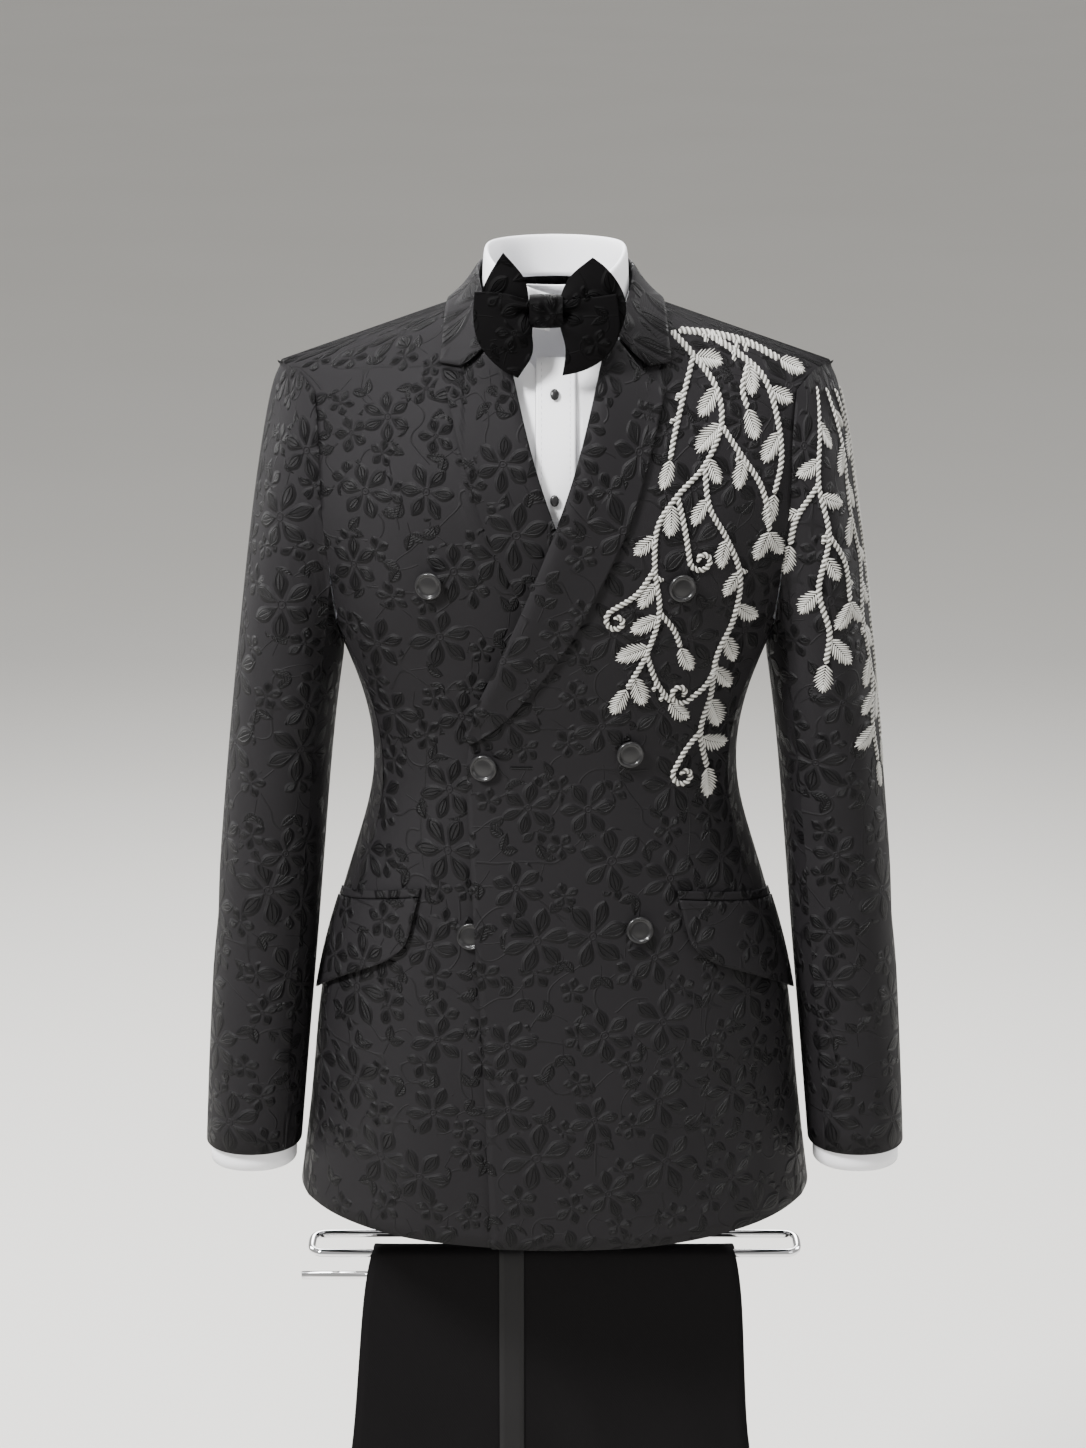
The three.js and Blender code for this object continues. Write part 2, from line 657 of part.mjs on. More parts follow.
// The collar is one folded wall: up the stand on the neck's side, over the fold and down the fall.
const FOLD_HALF = 2.6;
function addCollar() {
  const names = ["foldX", "foldY", "foldZ", "edgeX", "edgeZ", "footX", "footY", "footZ"];
  const read = Object.fromEntries(names.map((name) => [name, alongTable(COLLAR, name)]));
  const sideChange = 4 / (COLLAR.length - 1);
  const section = (u) => {
    const fold = vector(read.foldX(u), read.foldY(u), read.foldZ(u));
    const foot = vector(read.footX(u), read.footY(u), read.footZ(u));
    const side = u < sideChange ? 1 : -1;
    const onBody = (x, z, lift) => {
      const p = torsoPoint(side, x, Math.min(z, shoulderLine(x)));
      return p.addScaledVector(torsoNormal(p), lift);
    };
    const away = vector(fold.x, fold.y, 0).normalize();
    const edge = onBody(read.edgeX(u), read.edgeZ(u), 3.7);
    const neckSide = fold.clone().addScaledVector(away, -FOLD_HALF);
    const outSide = fold.clone().addScaledVector(away, FOLD_HALF);
    neckSide.z -= 3;
    outSide.z -= 3;
    const footSide = foot.clone().addScaledVector(away, -1.1);
    const top = fold.clone();
    const fall = [0.36, 0.7].map((share) => {
      const p = outSide.clone().lerp(edge, share);
      const bulge = Math.sin(share * Math.PI) * -1.6;
      return p.addScaledVector(away, bulge).add(vector(0, 0, bulge * 0.8));
    });
    const end = ease(0.84, 1, u);
    const notch = onBody(COLLAR_NOTCH.x, COLLAR_NOTCH.z, 3.6);
    fall[1].lerp(notch.clone().lerp(edge, 0.2), end);
    fall[0].lerp(outSide.clone().lerp(notch, 0.66), end);
    return [footSide, footSide.clone().lerp(neckSide, 0.5), neckSide, top, outSide, ...fall, edge];
  };
  const half = range(9).map(section);
  const grid = [...mirrored(half).reverse(), ...half.slice(1)];
  addMesh("collar", wallGeometry(grid, turned(gridNormals(grid, false)), JACKET_WALL), MATERIALS.jacquard);
}

// A small cloth piece round the side of a front: its corners are given by angle and height.
function patchOnFront({ flip, corners, rows, columns, lift, curve = () => 0 }) {
  const [topIn, topOut, bottomIn, bottomOut] = corners;
  const grid = range(rows).map((down) =>
    evenRow((across) => {
      const from = mix(topIn.angle, topOut.angle, across);
      const angle = radians(mix(from, mix(bottomIn.angle, bottomOut.angle, across), down));
      const z = mix(mix(topIn.z, topOut.z, across), mix(bottomIn.z, bottomOut.z, across), down);
      const p = torsoRing(-1, angle, z + curve(across, down));
      p.x *= flip;
      const base = flip < 0 ? underLeftFront(p) : liftOverButton(p);
      return p.addScaledVector(torsoNormal(p), base + lift(across, down));
    }, columns),
  );
  const normals = grid.map((row) => row.map(torsoNormal));
  return { grid, normals };
}

// Flap pockets: a narrow jet above, and a flap that slants back with a rounded front corner.
const FLAP_WALL = 2;
const JET_WALL = 1.4;
const POCKETS = [
  { side: "left", flip: 1, topFront: 31.4, bottomFront: 32.7 },
  { side: "right", flip: -1, topFront: 36.4, bottomFront: 37.1 },
];
const FLAP_CORNER = { reach: 0.13, rise: 11, power: 5 };
function addPockets() {
  for (const { side, flip, topFront, bottomFront } of POCKETS) {
    const flap = patchOnFront({
      flip,
      corners: [
        { angle: topFront, z: -491.5 },
        { angle: 85, z: -515 },
        { angle: bottomFront, z: -542 },
        { angle: 86, z: -600 },
      ],
      rows: 5,
      columns: 9,
      lift: (across, down) => FLAP_WALL + 0.7 + 1.6 * down,
      curve: (across, down) => {
        const near = Math.max(0, 1 - across / FLAP_CORNER.reach);
        return FLAP_CORNER.rise * down ** FLAP_CORNER.power * near ** 2;
      },
    });
    addMesh("pocket_flap_" + side, wallGeometry(flap.grid, flap.normals, FLAP_WALL), MATERIALS.jacquard);
    const jet = patchOnFront({
      flip,
      corners: [
        { angle: topFront, z: -483.5 },
        { angle: 85, z: -507 },
        { angle: topFront, z: -491 },
        { angle: 85, z: -514.5 },
      ],
      rows: 1,
      columns: 9,
      lift: () => JET_WALL + 0.5,
    });
    addMesh("pocket_jet_" + side, wallGeometry(jet.grid, jet.normals, JET_WALL), MATERIALS.jacquard);
  }
}

// Turns a lathe's axis to a direction and moves its foot to a place.
function placeTurned(mesh, place, direction) {
  mesh.quaternion.setFromUnitVectors(vector(0, 1, 0), direction.clone().normalize());
  mesh.position.copy(place);
}

// Jacket buttons with a raised rim and a dished middle.
const BUTTON = { radius: 11.5, height: 4 };
const BUTTONS = [
  { name: "button_right_top", x: -104, z: -220, on: "right" },
  { name: "button_left_top", x: 102, z: -220, on: "left" },
  { name: "button_fastened", x: -59, z: -375, on: "left" },
  { name: "button_left_middle", x: 61, z: -363, on: "left" },
  { name: "button_right_lower", x: HIDDEN_BUTTON.x, z: HIDDEN_BUTTON.z, on: "right" },
  { name: "button_left_lower", x: 70, z: -514, on: "left" },
];
function addButtons() {
  const { radius, height } = BUTTON;
  const profile = [
    [0, 0],
    [radius * 0.86, 0],
    [radius, height * 0.45],
    [radius * 0.93, height * 0.9],
    [radius * 0.84, height],
    [radius * 0.74, height * 0.8],
    [0, height * 0.93],
  ].map(([r, h]) => new THREE.Vector2(r, h));
  for (const { name, x, z, on } of BUTTONS) {
    const mesh = addMesh(name, new THREE.LatheGeometry(profile, 14), MATERIALS.button);
    const p = torsoPoint(-1, x, z);
    const base = on === "right" ? underLeftFront(p) : liftOverButton(p);
    const normal = torsoNormal(p);
    placeTurned(mesh, p.clone().addScaledVector(normal, base + 0.65), normal);
  }
}

// The shirt's body panels follow the jacket's, further in, and stop at the shirt's own neckline.
const SHIRT_SHOULDER = 206;
const PLACKET_HALF = 16.5;
const shirtEdge = column(
  [
    { z: -800, x: PLACKET_HALF + 0.4 },
    { z: -45, x: PLACKET_HALF + 0.4 },
    { z: -30, x: 20 },
    { z: -18, x: 38 },
    { z: -4, x: 52 },
    { z: 8, x: 57.5 },
  ],
  "z",
  "x",
);
// The jacket rests on the shirt along the shoulder, beyond its own collar.
const SHOULDER_SEAT = { inset: 2.55, from: 96, to: 120, depth: 30 };
function insideJacket(p) {
  const onShoulder = ease(SHOULDER_SEAT.from, SHOULDER_SEAT.to, Math.abs(p.x));
  const below = ease(0, SHOULDER_SEAT.depth, shoulderLine(p.x) - p.z);
  return -mix(shirtInset(p.z), SHOULDER_SEAT.inset, onShoulder * (1 - below));
}
function addShirtBody() {
  const shared = { outerY: () => 2, hem: () => SHIRT_HEM, lowRows: 4, highRows: 6, columns: 7 };
  const limit = (grid) => {
    for (const p of grid.flat()) p.x = Math.min(p.x, mix(SHIRT_SHOULDER, 240, ease(-120, -300, p.z)));
    return grid;
  };
  const front = limit(torsoPanel({ ...shared, side: -1, innerX: shirtEdge, top: shoulderLine }));
  const shirtNape = (x) => Math.min(shoulderLine(x), 4 + 0.09 * Math.abs(x));
  const back = limit(torsoPanel({ ...shared, side: 1, innerX: () => 0, top: shirtNape }));
  const wholeBack = back.map((row) => [...mirrored([row])[0].reverse(), ...row.slice(1)]);
  const pieces = [
    ["shirt_front_left", front],
    ["shirt_front_right", mirrored(front)],
    ["shirt_back", wholeBack],
  ];
  for (const [name, grid] of pieces) {
    const normals = grid.map((row) => row.map(torsoNormal));
    const moved = offsetGrid(grid, insideJacket);
    drawIn(moved, SEAM_GAP);
    addMesh(name, wallGeometry(moved, normals, SHIRT_WALL), MATERIALS.shirt);
  }
}

// The placket lies over both front edges of the shirt and carries the studs.
const PLACKET_LIFT = 1.6;
const STUDS = [
  { name: "stud_upper", x: -1, z: -64 },
  { name: "stud_lower", x: -1, z: -147 },
];
function onShirt(x, z, lift) {
  const p = torsoPoint(-1, x, z);
  return p.addScaledVector(torsoNormal(p), lift - shirtInset(z));
}
function addPlacket() {
  const heights = [-36, -60, -90, -120, -150, -185, -230, -290, -340, -390, -440, -520, -638];
  const grid = heights.map((z) =>
    range(4).map((across) => onShirt(mix(-PLACKET_HALF, PLACKET_HALF, across), z, PLACKET_LIFT)),
  );
  const normals = grid.map((row) => row.map(torsoNormal));
  addMesh("shirt_placket", wallGeometry(grid, normals, SHIRT_WALL), MATERIALS.shirt);
  const profile = [[0, 0], [3.4, 0], [4.2, 1], [3.4, 2.1], [0, 2.7]].map(([r, h]) => new THREE.Vector2(r, h));
  for (const { name, x, z } of STUDS) {
    const mesh = addMesh(name, new THREE.LatheGeometry(profile, 12), MATERIALS.button);
    placeTurned(mesh, onShirt(x, z, PLACKET_LIFT + 0.35), torsoNormal(torsoPoint(-1, x, z)));
    mesh.scale.set(0.9, 1, 1.15);
  }
}

// The shirt collar at stations from the centre back to the front: the foot of its band, its fold and the
// edge of its fall.
const SHIRT_COLLAR = [
  {
    footX: 0, footY: 56, footZ: 7,
    foldX: 0, foldY: 59.5, foldZ: 42,
    edgeX: 0, edgeY: 61.5, edgeZ: 14,
  },
  {
    footX: 24, footY: 51, footZ: 7,
    foldX: 24, foldY: 54.5, foldZ: 42,
    edgeX: 25, edgeY: 56.5, edgeZ: 14,
  },
  {
    footX: 43.2, footY: 34.4, footZ: 8,
    foldX: 43, foldY: 39, foldZ: 42.5,
    edgeX: 44.5, edgeY: 40.5, edgeZ: 14,
  },
  {
    footX: 52, footY: 14, footZ: 10,
    foldX: 54, foldY: 18, foldZ: 43,
    edgeX: 56.5, edgeY: 18.5, edgeZ: 14,
  },
  {
    footX: 53.6, footY: -8, footZ: 10,
    foldX: 57, foldY: -5, foldZ: 42,
    edgeX: 59.5, edgeY: -5, edgeZ: 11,
  },
  {
    footX: 50, footY: -28, footZ: 0,
    foldX: 54, foldY: -27, foldZ: 36,
    edgeX: 56, edgeY: -29, edgeZ: -2,
  },
  {
    footX: 40, footY: -45, footZ: -9,
    foldX: 43, foldY: -46, foldZ: 27,
    edgeX: 44.5, edgeY: -49, edgeZ: -19,
  },
  {
    footX: 24, footY: -56.5, footZ: -16,
    foldX: 25, foldY: -59.5, foldZ: 18,
    edgeX: 33, edgeY: -60.5, edgeZ: -30,
  },
  {
    footX: 5, footY: -60.5, footZ: -19,
    foldX: 5, foldY: -64, foldZ: 12,
    edgeX: 21, edgeY: -67, edgeZ: -18,
  },
];
const SHIRT_FOLD_HALF = 2.5;
function addShirtCollar() {
  const names = Object.keys(SHIRT_COLLAR[0]);
  const read = Object.fromEntries(names.map((name) => [name, alongTable(SHIRT_COLLAR, name)]));
  const point = (kind, u) => vector(read[kind + "X"](u), read[kind + "Y"](u), read[kind + "Z"](u));
  const half = range(SHIRT_COLLAR.length).map((u) => {
    const fold = point("fold", u);
    const away = vector(fold.x, fold.y, 0).normalize();
    const neckSide = fold.clone().addScaledVector(away, -SHIRT_FOLD_HALF).add(vector(0, 0, -2));
    const outSide = fold.clone().addScaledVector(away, SHIRT_FOLD_HALF).add(vector(0, 0, -2));
    const foot = point("foot", u);
    const edge = point("edge", u).addScaledVector(away, 1.4);
    const band = foot.clone().lerp(neckSide, 0.5);
    const fall = outSide.clone().lerp(edge, 0.5);
    return [foot, band, neckSide, fold, outSide, fall, edge];
  });
  const grid = [...mirrored(half).reverse(), ...half.slice(1)];
  addMesh("shirt_collar", wallGeometry(grid, turned(gridNormals(grid, false)), SHIRT_WALL), MATERIALS.shirt);
}

// Shirt sleeves run inside the jacket's, and each ends in a cuff that shows below.
const SLEEVE_INSET = { head: 7, arm: 3.1 };
const CUFF = { top: -690, bottom: -751, wall: 1.8, inset: 4.4 };
function addShirtSleeves() {
  const rings = sleeveRings();
  const normals = gridNormals(rings, true);
  const inset = rings.map((row, i) => {
    const depth = mix(SLEEVE_INSET.head, SLEEVE_INSET.arm, ease(1, 5, i));
    return row.map((p, k) => p.clone().addScaledVector(normals[i][k], -depth));
  });
  const arm = ringColumns(inset.slice(1, -1), 0, SLEEVE_STEPS, 2).map((row) => row.slice(0, -1));
  const outward = ringColumns(normals.slice(1, -1), 0, SLEEVE_STEPS, 2).map((row) => row.slice(0, -1));
  const last = rings.length - 1;
  const cuff = [CUFF.top, (CUFF.top + CUFF.bottom) / 2, CUFF.bottom].map((z) =>
    rings[last].map((p, k) => {
      const n = normals[last][k];
      const flat = vector(n.x, n.y, 0).normalize();
      const back = (z - SLEEVE_RINGS[last].top) * -0.03;
      return vector(p.x + back, p.y, z).addScaledVector(flat, -CUFF.inset);
    }),
  );
  const level = normals[last].map((n) => vector(n.x, n.y, 0).normalize());
  const cuffNormals = cuff.map((row) => row.map((_, k) => level[k].clone()));
  for (const [side, flip] of [["left", 1], ["right", -1]]) {
    const turn = (grid) => grid.map((row) => row.map((v) => vector(v.x * flip, v.y, v.z)));
    const armWall = wallGeometry(turn(arm), turn(outward), SHIRT_WALL, true);
    const cuffWall = wallGeometry(turn(cuff), turn(cuffNormals), CUFF.wall, true);
    addMesh("shirt_sleeve_" + side, armWall, MATERIALS.shirt);
    addMesh("shirt_cuff_" + side, cuffWall, MATERIALS.shirt);
  }
}

// The bow tie: each wing is a front leaf that fans down and a back leaf that fans up, with a pleat.
const BOW_LEAVES = [
  {
    name: "bow_front_right",
    y: -87,
    top: [[-23.6, 11], [-42, 17], [-64.5, 17.6]],
    bottom: [[-23.6, -10], [-21, -30], [-30.7, -51.5]],
    outer: [[-64.5, 17.6], [-66, -5], [-61.4, -25.3], [-46.5, -43.2], [-30.7, -51.5]],
  },
  {
    name: "bow_back_right",
    y: -81.5,
    top: [[-23.6, 10], [-27, 30], [-42, 47.8]],
    bottom: [[-23.6, -9], [-42, -8], [-62, -6]],
    outer: [[-42, 47.8], [-50, 36], [-57.6, 21.6], [-61.5, 8], [-62, -6]],
  },
  {
    name: "bow_front_left",
    y: -87,
    top: [[5.7, 11], [26, 13], [47.6, 15.7]],
    bottom: [[5.7, -10], [9.5, -28], [7.5, -49.6]],
    outer: [[47.6, 15.7], [50.7, -5], [48.9, -22.8], [32.5, -42], [7.5, -49.6]],
  },
  {
    name: "bow_back_left",
    y: -81.5,
    top: [[5.7, 10], [12, 30], [28.8, 44]],
    bottom: [[5.7, -9], [24, -20], [43.9, -30.4]],
    outer: [[28.8, 44], [42, 34], [53.9, 15.2], [55.1, -5], [43.9, -30.4]],
  },
];
const BOW_WALL = 2.2;
const BOW_CENTRE = { x: -7.9, z: 1 };
function curveThrough(points) {
  const rows = points.map(([x, z], i) => ({ at: i / (points.length - 1), x, z }));
  const x = column(rows, "at", "x");
  const z = column(rows, "at", "z");
  return (t) => [x(t), z(t)];
}
function addBowTie() {
  for (const { name, y, top, bottom, outer } of BOW_LEAVES) {
    const edges = { top: curveThrough(top), bottom: curveThrough(bottom), outer: curveThrough(outer) };
    const grid = range(5).map((along) =>
      range(6).map((across) => {
        const [topX, topZ] = edges.top(along);
        const [bottomX, bottomZ] = edges.bottom(along);
        const [outerX, outerZ] = edges.outer(across);
        const cornerX = mix(top[2][0], bottom[2][0], across);
        const cornerZ = mix(top[2][1], bottom[2][1], across);
        const arch = Math.sin(Math.PI * (0.12 + 0.76 * across));
        const puff = 5 * Math.sin(Math.PI * (0.15 + 0.8 * along)) * arch;
        const pleat = 3.4 * (1 - along) * Math.exp(-(((across - 0.5) / 0.14) ** 2));
        return vector(
          mix(topX, bottomX, across) + (outerX - cornerX) * along ** 1.3,
          y - puff + pleat - 3 * along * across,
          mix(topZ, bottomZ, across) + (outerZ - cornerZ) * along ** 1.3,
        );
      }),
    );
    const normals = gridNormals(grid, false).map((row) => row.map((n) => (n.y > 0 ? n.negate() : n)));
    addMesh(name, wallGeometry(grid, normals, BOW_WALL), MATERIALS.bow);
  }
  addBowKnot();
  addBowBand();
}

// The knot is a short band of cloth wrapped round the middle of the wings.
function addBowKnot() {
  const half = { x: 13.3, y: 13.2, z: 13.5 };
  const middle = { y: -81.1 };
  const across = [-1, -0.92, -0.4, 0, 0.4, 0.92, 1];
  const around = range(12).slice(0, -1).map((t) => t * 2 * Math.PI);
  const ring = (share, inner) =>
    around.map((angle) => {
      const shrink = inner ? 2 : 0;
      const round = 0.94 + 0.06 * (1 - share * share);
      return vector(
        BOW_CENTRE.x + half.x * share * (inner ? 0.97 : 1),
        middle.y - signedPower(Math.sin(angle), 0.7) * (half.y - shrink) * round,
        BOW_CENTRE.z + signedPower(Math.cos(angle), 0.7) * (half.z - shrink) * round,
      );
    });
  const points = across.flatMap((share) => ring(share, false));
  const count = around.length;
  const triangles = [];
  for (let i = 0; i < across.length - 1; i++) {
    for (let k = 0; k < count; k++) {
      const next = (k + 1) % count;
      const [a, b] = [i * count + k, i * count + next];
      triangles.push([a, b, b + count], [a, b + count, a + count]);
    }
  }
  for (const i of [0, across.length - 1]) {
    const centre = points.length;
    points.push(vector(BOW_CENTRE.x + half.x * across[i], middle.y, BOW_CENTRE.z));
    for (let k = 0; k < count; k++) {
      const [a, b] = [i * count + k, i * count + ((k + 1) % count)];
      triangles.push(i === 0 ? [a, centre, b] : [a, b, centre]);
    }
  }
  addMesh("bow_knot", solidFrom(points, triangles), MATERIALS.bow);
}

// The band runs round the shirt collar, under its fall, and ends behind the knot.
const BAND_HEIGHT = 14;
function addBowBand() {
  const names = ["foldX", "foldY", "foldZ"];
  const read = Object.fromEntries(names.map((name) => [name, alongTable(SHIRT_COLLAR, name)]));
  const half = range(9).map((u) => {
    const top = vector(read.foldX(u), read.foldY(u), read.foldZ(u) - 13);
    const away = vector(top.x, top.y, 0).normalize();
    top.addScaledVector(away, 0.5);
    return [top, top.clone().add(vector(0, 0, -BAND_HEIGHT))];
  });
  const grid = [...mirrored(half).reverse(), ...half.slice(1)];
  const normals = grid.map((row) => row.map((p) => vector(p.x, p.y, 0).normalize()));
  addMesh("bow_band", wallGeometry(grid, normals, 1), MATERIALS.bow);
}

// The chrome bar: a flat loop whose near side the trousers hang over, and a straight rod under that side.
const LOOP = { halfLength: 215, halfGap: 20.9, corner: 13, radius: 3.9, z: -848 };
const ROD = { from: -223.5, to: 150, radius: 3.9, z: -869 };
function tube(path, radius, sides, closed) {
  const last = path.length - 1;
  const points = [];
  path.forEach((p, i) => {
    const before = closed ? path[(i + last) % path.length] : path[Math.max(i - 1, 0)];
    const after = closed ? path[(i + 1) % path.length] : path[Math.min(i + 1, last)];
    const along = after.clone().sub(before).normalize();
    const up = vector(0, 0, 1);
    const sideways = along.clone().cross(up).normalize();
    for (let k = 0; k < sides; k++) {
      const angle = (k / sides) * 2 * Math.PI;
      const offset = sideways.clone().multiplyScalar(Math.cos(angle) * radius);
      points.push(p.clone().add(offset).addScaledVector(up, Math.sin(angle) * radius));
    }
  });
  const triangles = [];
  for (let i = 0; i < (closed ? path.length : last); i++) {
    for (let k = 0; k < sides; k++) {
      const j = (i + 1) % path.length;
      const [a, b] = [i * sides + k, i * sides + ((k + 1) % sides)];
      const [c, d] = [j * sides + ((k + 1) % sides), j * sides + k];
      triangles.push([a, b, c], [a, c, d]);
    }
  }
  for (const i of closed ? [] : [0, last]) {
    const centre = points.length;
    points.push(path[i].clone());
    for (let k = 0; k < sides; k++) {
      const [a, b] = [i * sides + k, i * sides + ((k + 1) % sides)];
      triangles.push(i === 0 ? [a, centre, b] : [a, b, centre]);
    }
  }
  return solidFrom(points, triangles);
}
function addBar() {
  const { halfLength, halfGap, corner, radius, z } = LOOP;
  const bend = (sideX, sideY, from) =>
    range(4).map((t) => {
      const angle = from + (t * Math.PI) / 2;
      const x = sideX * (halfLength - corner) + corner * Math.cos(angle);
      return vector(x, sideY * (halfGap - corner) + corner * Math.sin(angle), z);
    });
  const path = [
    ...bend(1, -1, -Math.PI / 2),
    ...bend(1, 1, 0),
    ...bend(-1, 1, Math.PI / 2),
    ...bend(-1, -1, Math.PI),
  ];
  addMesh("bar_loop", tube(path, radius, 10, true), MATERIALS.chrome);
  const rod = [vector(ROD.from, -halfGap, ROD.z), vector(ROD.to, -halfGap, ROD.z)];
  addMesh("bar_rod", tube(rod, ROD.radius, 12, false), MATERIALS.chrome);
  const top = LOOP.z - LOOP.radius - 0.3;
  const foot = ROD.z + ROD.radius + 0.3;
  const bracket = addMesh("bar_bracket", new THREE.BoxGeometry(36, 6, top - foot), MATERIALS.chrome);
  bracket.position.set(0, -halfGap, (top + foot) / 2);
}

// The trousers hang leg on leg over the loop. Their outline on each side of the fold, by distance from it.
const TROUSER_OUTLINE = [
  { along: -500, left: -203, right: 203 },
  { along: -400, left: -206, right: 228 },
  { along: -350, left: -208, right: 230 },
  { along: -290, left: -205, right: 211 },
  { along: -240, left: -187, right: 181 },
  { along: -190, left: -180, right: 172.5 },
  { along: -50, left: -169, right: 165.5 },
  { along: -14, left: -163, right: 160.5 },
  { along: 0, left: -158, right: 156 },
  { along: 14, left: -161, right: 160 },
  { along: 300, left: -142, right: 142 },
  { along: 570, left: -118, right: 120 },
];
const FRONT_FALL = 500;
const REAR_FALL = 570;
const CORE = { inner: 0.35, outer: 3.1 };
const TROUSER_WALL = 1.7;
const STRIPE_HALF = 11;
const stripeX = (along) => -38 + 0.05 * Math.max(0, along);
const outlineLeft = column(TROUSER_OUTLINE, "along", "left");
const outlineRight = column(TROUSER_OUTLINE, "along", "right");

// A point of the cloth path over the loop's near side, at a distance from it; along is 0 at the top.
const QUARTER_TURN = 12;
function overBar(along, out) {
  const reach = LOOP.radius + out;
  const s = Math.abs(along);
  const angle = (Math.min(s, QUARTER_TURN) / QUARTER_TURN) * (Math.PI / 2);
  const normal = vector(0, Math.sign(along) * Math.sin(angle), Math.cos(angle));
  const below = Math.max(0, s - QUARTER_TURN);
  return { y: reach * normal.y - LOOP.halfGap, z: LOOP.z + reach * normal.z - below, normal };
}
const FALL_ROWS = [-1, -0.86, -0.72, -0.6, -0.5, -0.4, -0.28, -0.16, -0.08];
const RISE_ROWS = [0.08, 0.2, 0.36, 0.52, 0.68, 0.84, 1];
const TROUSER_ROWS = [
  ...FALL_ROWS.map((share) => share * FRONT_FALL),
  ...range(6).map((t) => mix(-QUARTER_TURN, QUARTER_TURN, t)),
  ...RISE_ROWS.map((share) => share * REAR_FALL),
];
function trouserSheet(name, material, { out, wall, left, right, columns }) {
  const grid = TROUSER_ROWS.map((along) => {
    const { y, z } = overBar(along, out);
    return range(columns).map((t) => vector(mix(left(along), right(along), t), y, z));
  });
  const normals = TROUSER_ROWS.map((along) => range(columns).map(() => overBar(along, out).normal));
  addMesh(name, wallGeometry(grid, normals, wall), material);
}

// The hidden layers share one slab whose two edges are stepped like the leaves of folded cloth.
function addTrouserCore() {
  const { inner, outer } = CORE;
  const edge = [[3, 0], [1, 0.25], [3.5, 0.5], [1.2, 0.75], [3, 1]];
  const rings = TROUSER_ROWS.map((along) => {
    const left = outlineLeft(along);
    const right = outlineRight(along);
    const at = (x, share) => {
      const { y, z, normal } = overBar(along, inner);
      return vector(x, y, z).addScaledVector(normal, share * (outer - inner));
    };
    return [
      ...edge.map(([inset, share]) => at(right - inset, share)),
      ...[...edge].reverse().map(([inset, share]) => at(left + inset, share)),
    ];
  });
  const count = rings[0].length;
  const points = rings.flat();
  const triangles = [];
  for (let i = 0; i < rings.length - 1; i++) {
    for (let k = 0; k < count; k++) {
      const [a, b] = [i * count + k, i * count + ((k + 1) % count)];
      triangles.push([a, b, b + count], [a, b + count, a + count]);
    }
  }
  for (const [start, turn] of [[0, 1], [(rings.length - 1) * count, -1]]) {
    for (let k = 0; k < count / 2 - 1; k++) {
      const [a, b] = [start + k, start + k + 1];
      const [c, d] = [start + count - 2 - k, start + count - 1 - k];
      const faces = [[a, c, b], [a, d, c]];
      for (const face of faces) triangles.push(turn > 0 ? face : [face[0], face[2], face[1]]);
    }
  }
  addMesh("trousers_inner_layers", solidFrom(points, triangles), MATERIALS.trousers);
}

function addTrousers() {
  const out = CORE.outer + 0.3 + TROUSER_WALL;
  addTrouserCore();
  trouserSheet("trousers_front_panel", MATERIALS.trousers, {
    out,
    wall: TROUSER_WALL,
    left: outlineLeft,
    right: (along) => stripeX(along) - SEAM_GAP / 2,
    columns: 4,
  });
  trouserSheet("trousers_back_panel", MATERIALS.trousers, {
    out,
    wall: TROUSER_WALL,
    left: (along) => stripeX(along) + SEAM_GAP / 2,
    right: outlineRight,
    columns: 5,
  });
  trouserSheet("trousers_stripe", MATERIALS.satin, {
    out: out + 1.1,
    wall: 0.8,
    left: (along) => stripeX(along) - STRIPE_HALF,
    right: (along) => stripeX(along) + STRIPE_HALF,
    columns: 1,
  });
  const band = new THREE.BoxGeometry(404, CORE.outer - CORE.inner + TROUSER_WALL, 38);
  const waist = addMesh("trousers_waistband", band, MATERIALS.trousers);
  const end = overBar(-FRONT_FALL, (CORE.inner + out) / 2);
  waist.position.set(0, end.y, end.z - 19.35);
}

addJacketBody();
addSleeves();
addLapels();
addCollar();
addPockets();
addButtons();
addShirtBody();
addPlacket();
addShirtCollar();
addShirtSleeves();
addBowTie();
addBar();
addTrousers();

export default tuxedo;
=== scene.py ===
"""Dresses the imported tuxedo: jacquard, embroidery, shirting, wool, buttons and chrome on its own solids."""

import logging
import math
import random
from dataclasses import dataclass, field
from enum import Enum
from typing import Callable

import bmesh
import bpy
import numpy as np
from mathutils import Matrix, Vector
from mathutils.bvhtree import BVHTree


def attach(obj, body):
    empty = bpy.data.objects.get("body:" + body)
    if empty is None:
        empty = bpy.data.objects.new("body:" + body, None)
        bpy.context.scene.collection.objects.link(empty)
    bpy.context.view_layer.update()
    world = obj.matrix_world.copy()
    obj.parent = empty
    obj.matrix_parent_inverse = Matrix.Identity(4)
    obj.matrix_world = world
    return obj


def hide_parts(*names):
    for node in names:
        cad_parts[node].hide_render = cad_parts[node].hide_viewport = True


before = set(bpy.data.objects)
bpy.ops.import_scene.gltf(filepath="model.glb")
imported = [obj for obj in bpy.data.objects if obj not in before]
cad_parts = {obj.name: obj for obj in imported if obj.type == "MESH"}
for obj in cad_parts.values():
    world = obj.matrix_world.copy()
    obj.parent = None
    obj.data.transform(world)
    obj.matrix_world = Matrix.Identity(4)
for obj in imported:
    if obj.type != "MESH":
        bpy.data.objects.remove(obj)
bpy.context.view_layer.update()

MM = 0.001
TURN = 6.283
MERGE_DISTANCE = 2e-5
SMOOTH_ANGLE = math.radians(48)
LINING_FACING = -0.12
Colour = tuple[float, float, float, float]
Point = tuple[float, float]
log = logging.getLogger("tuxedo")


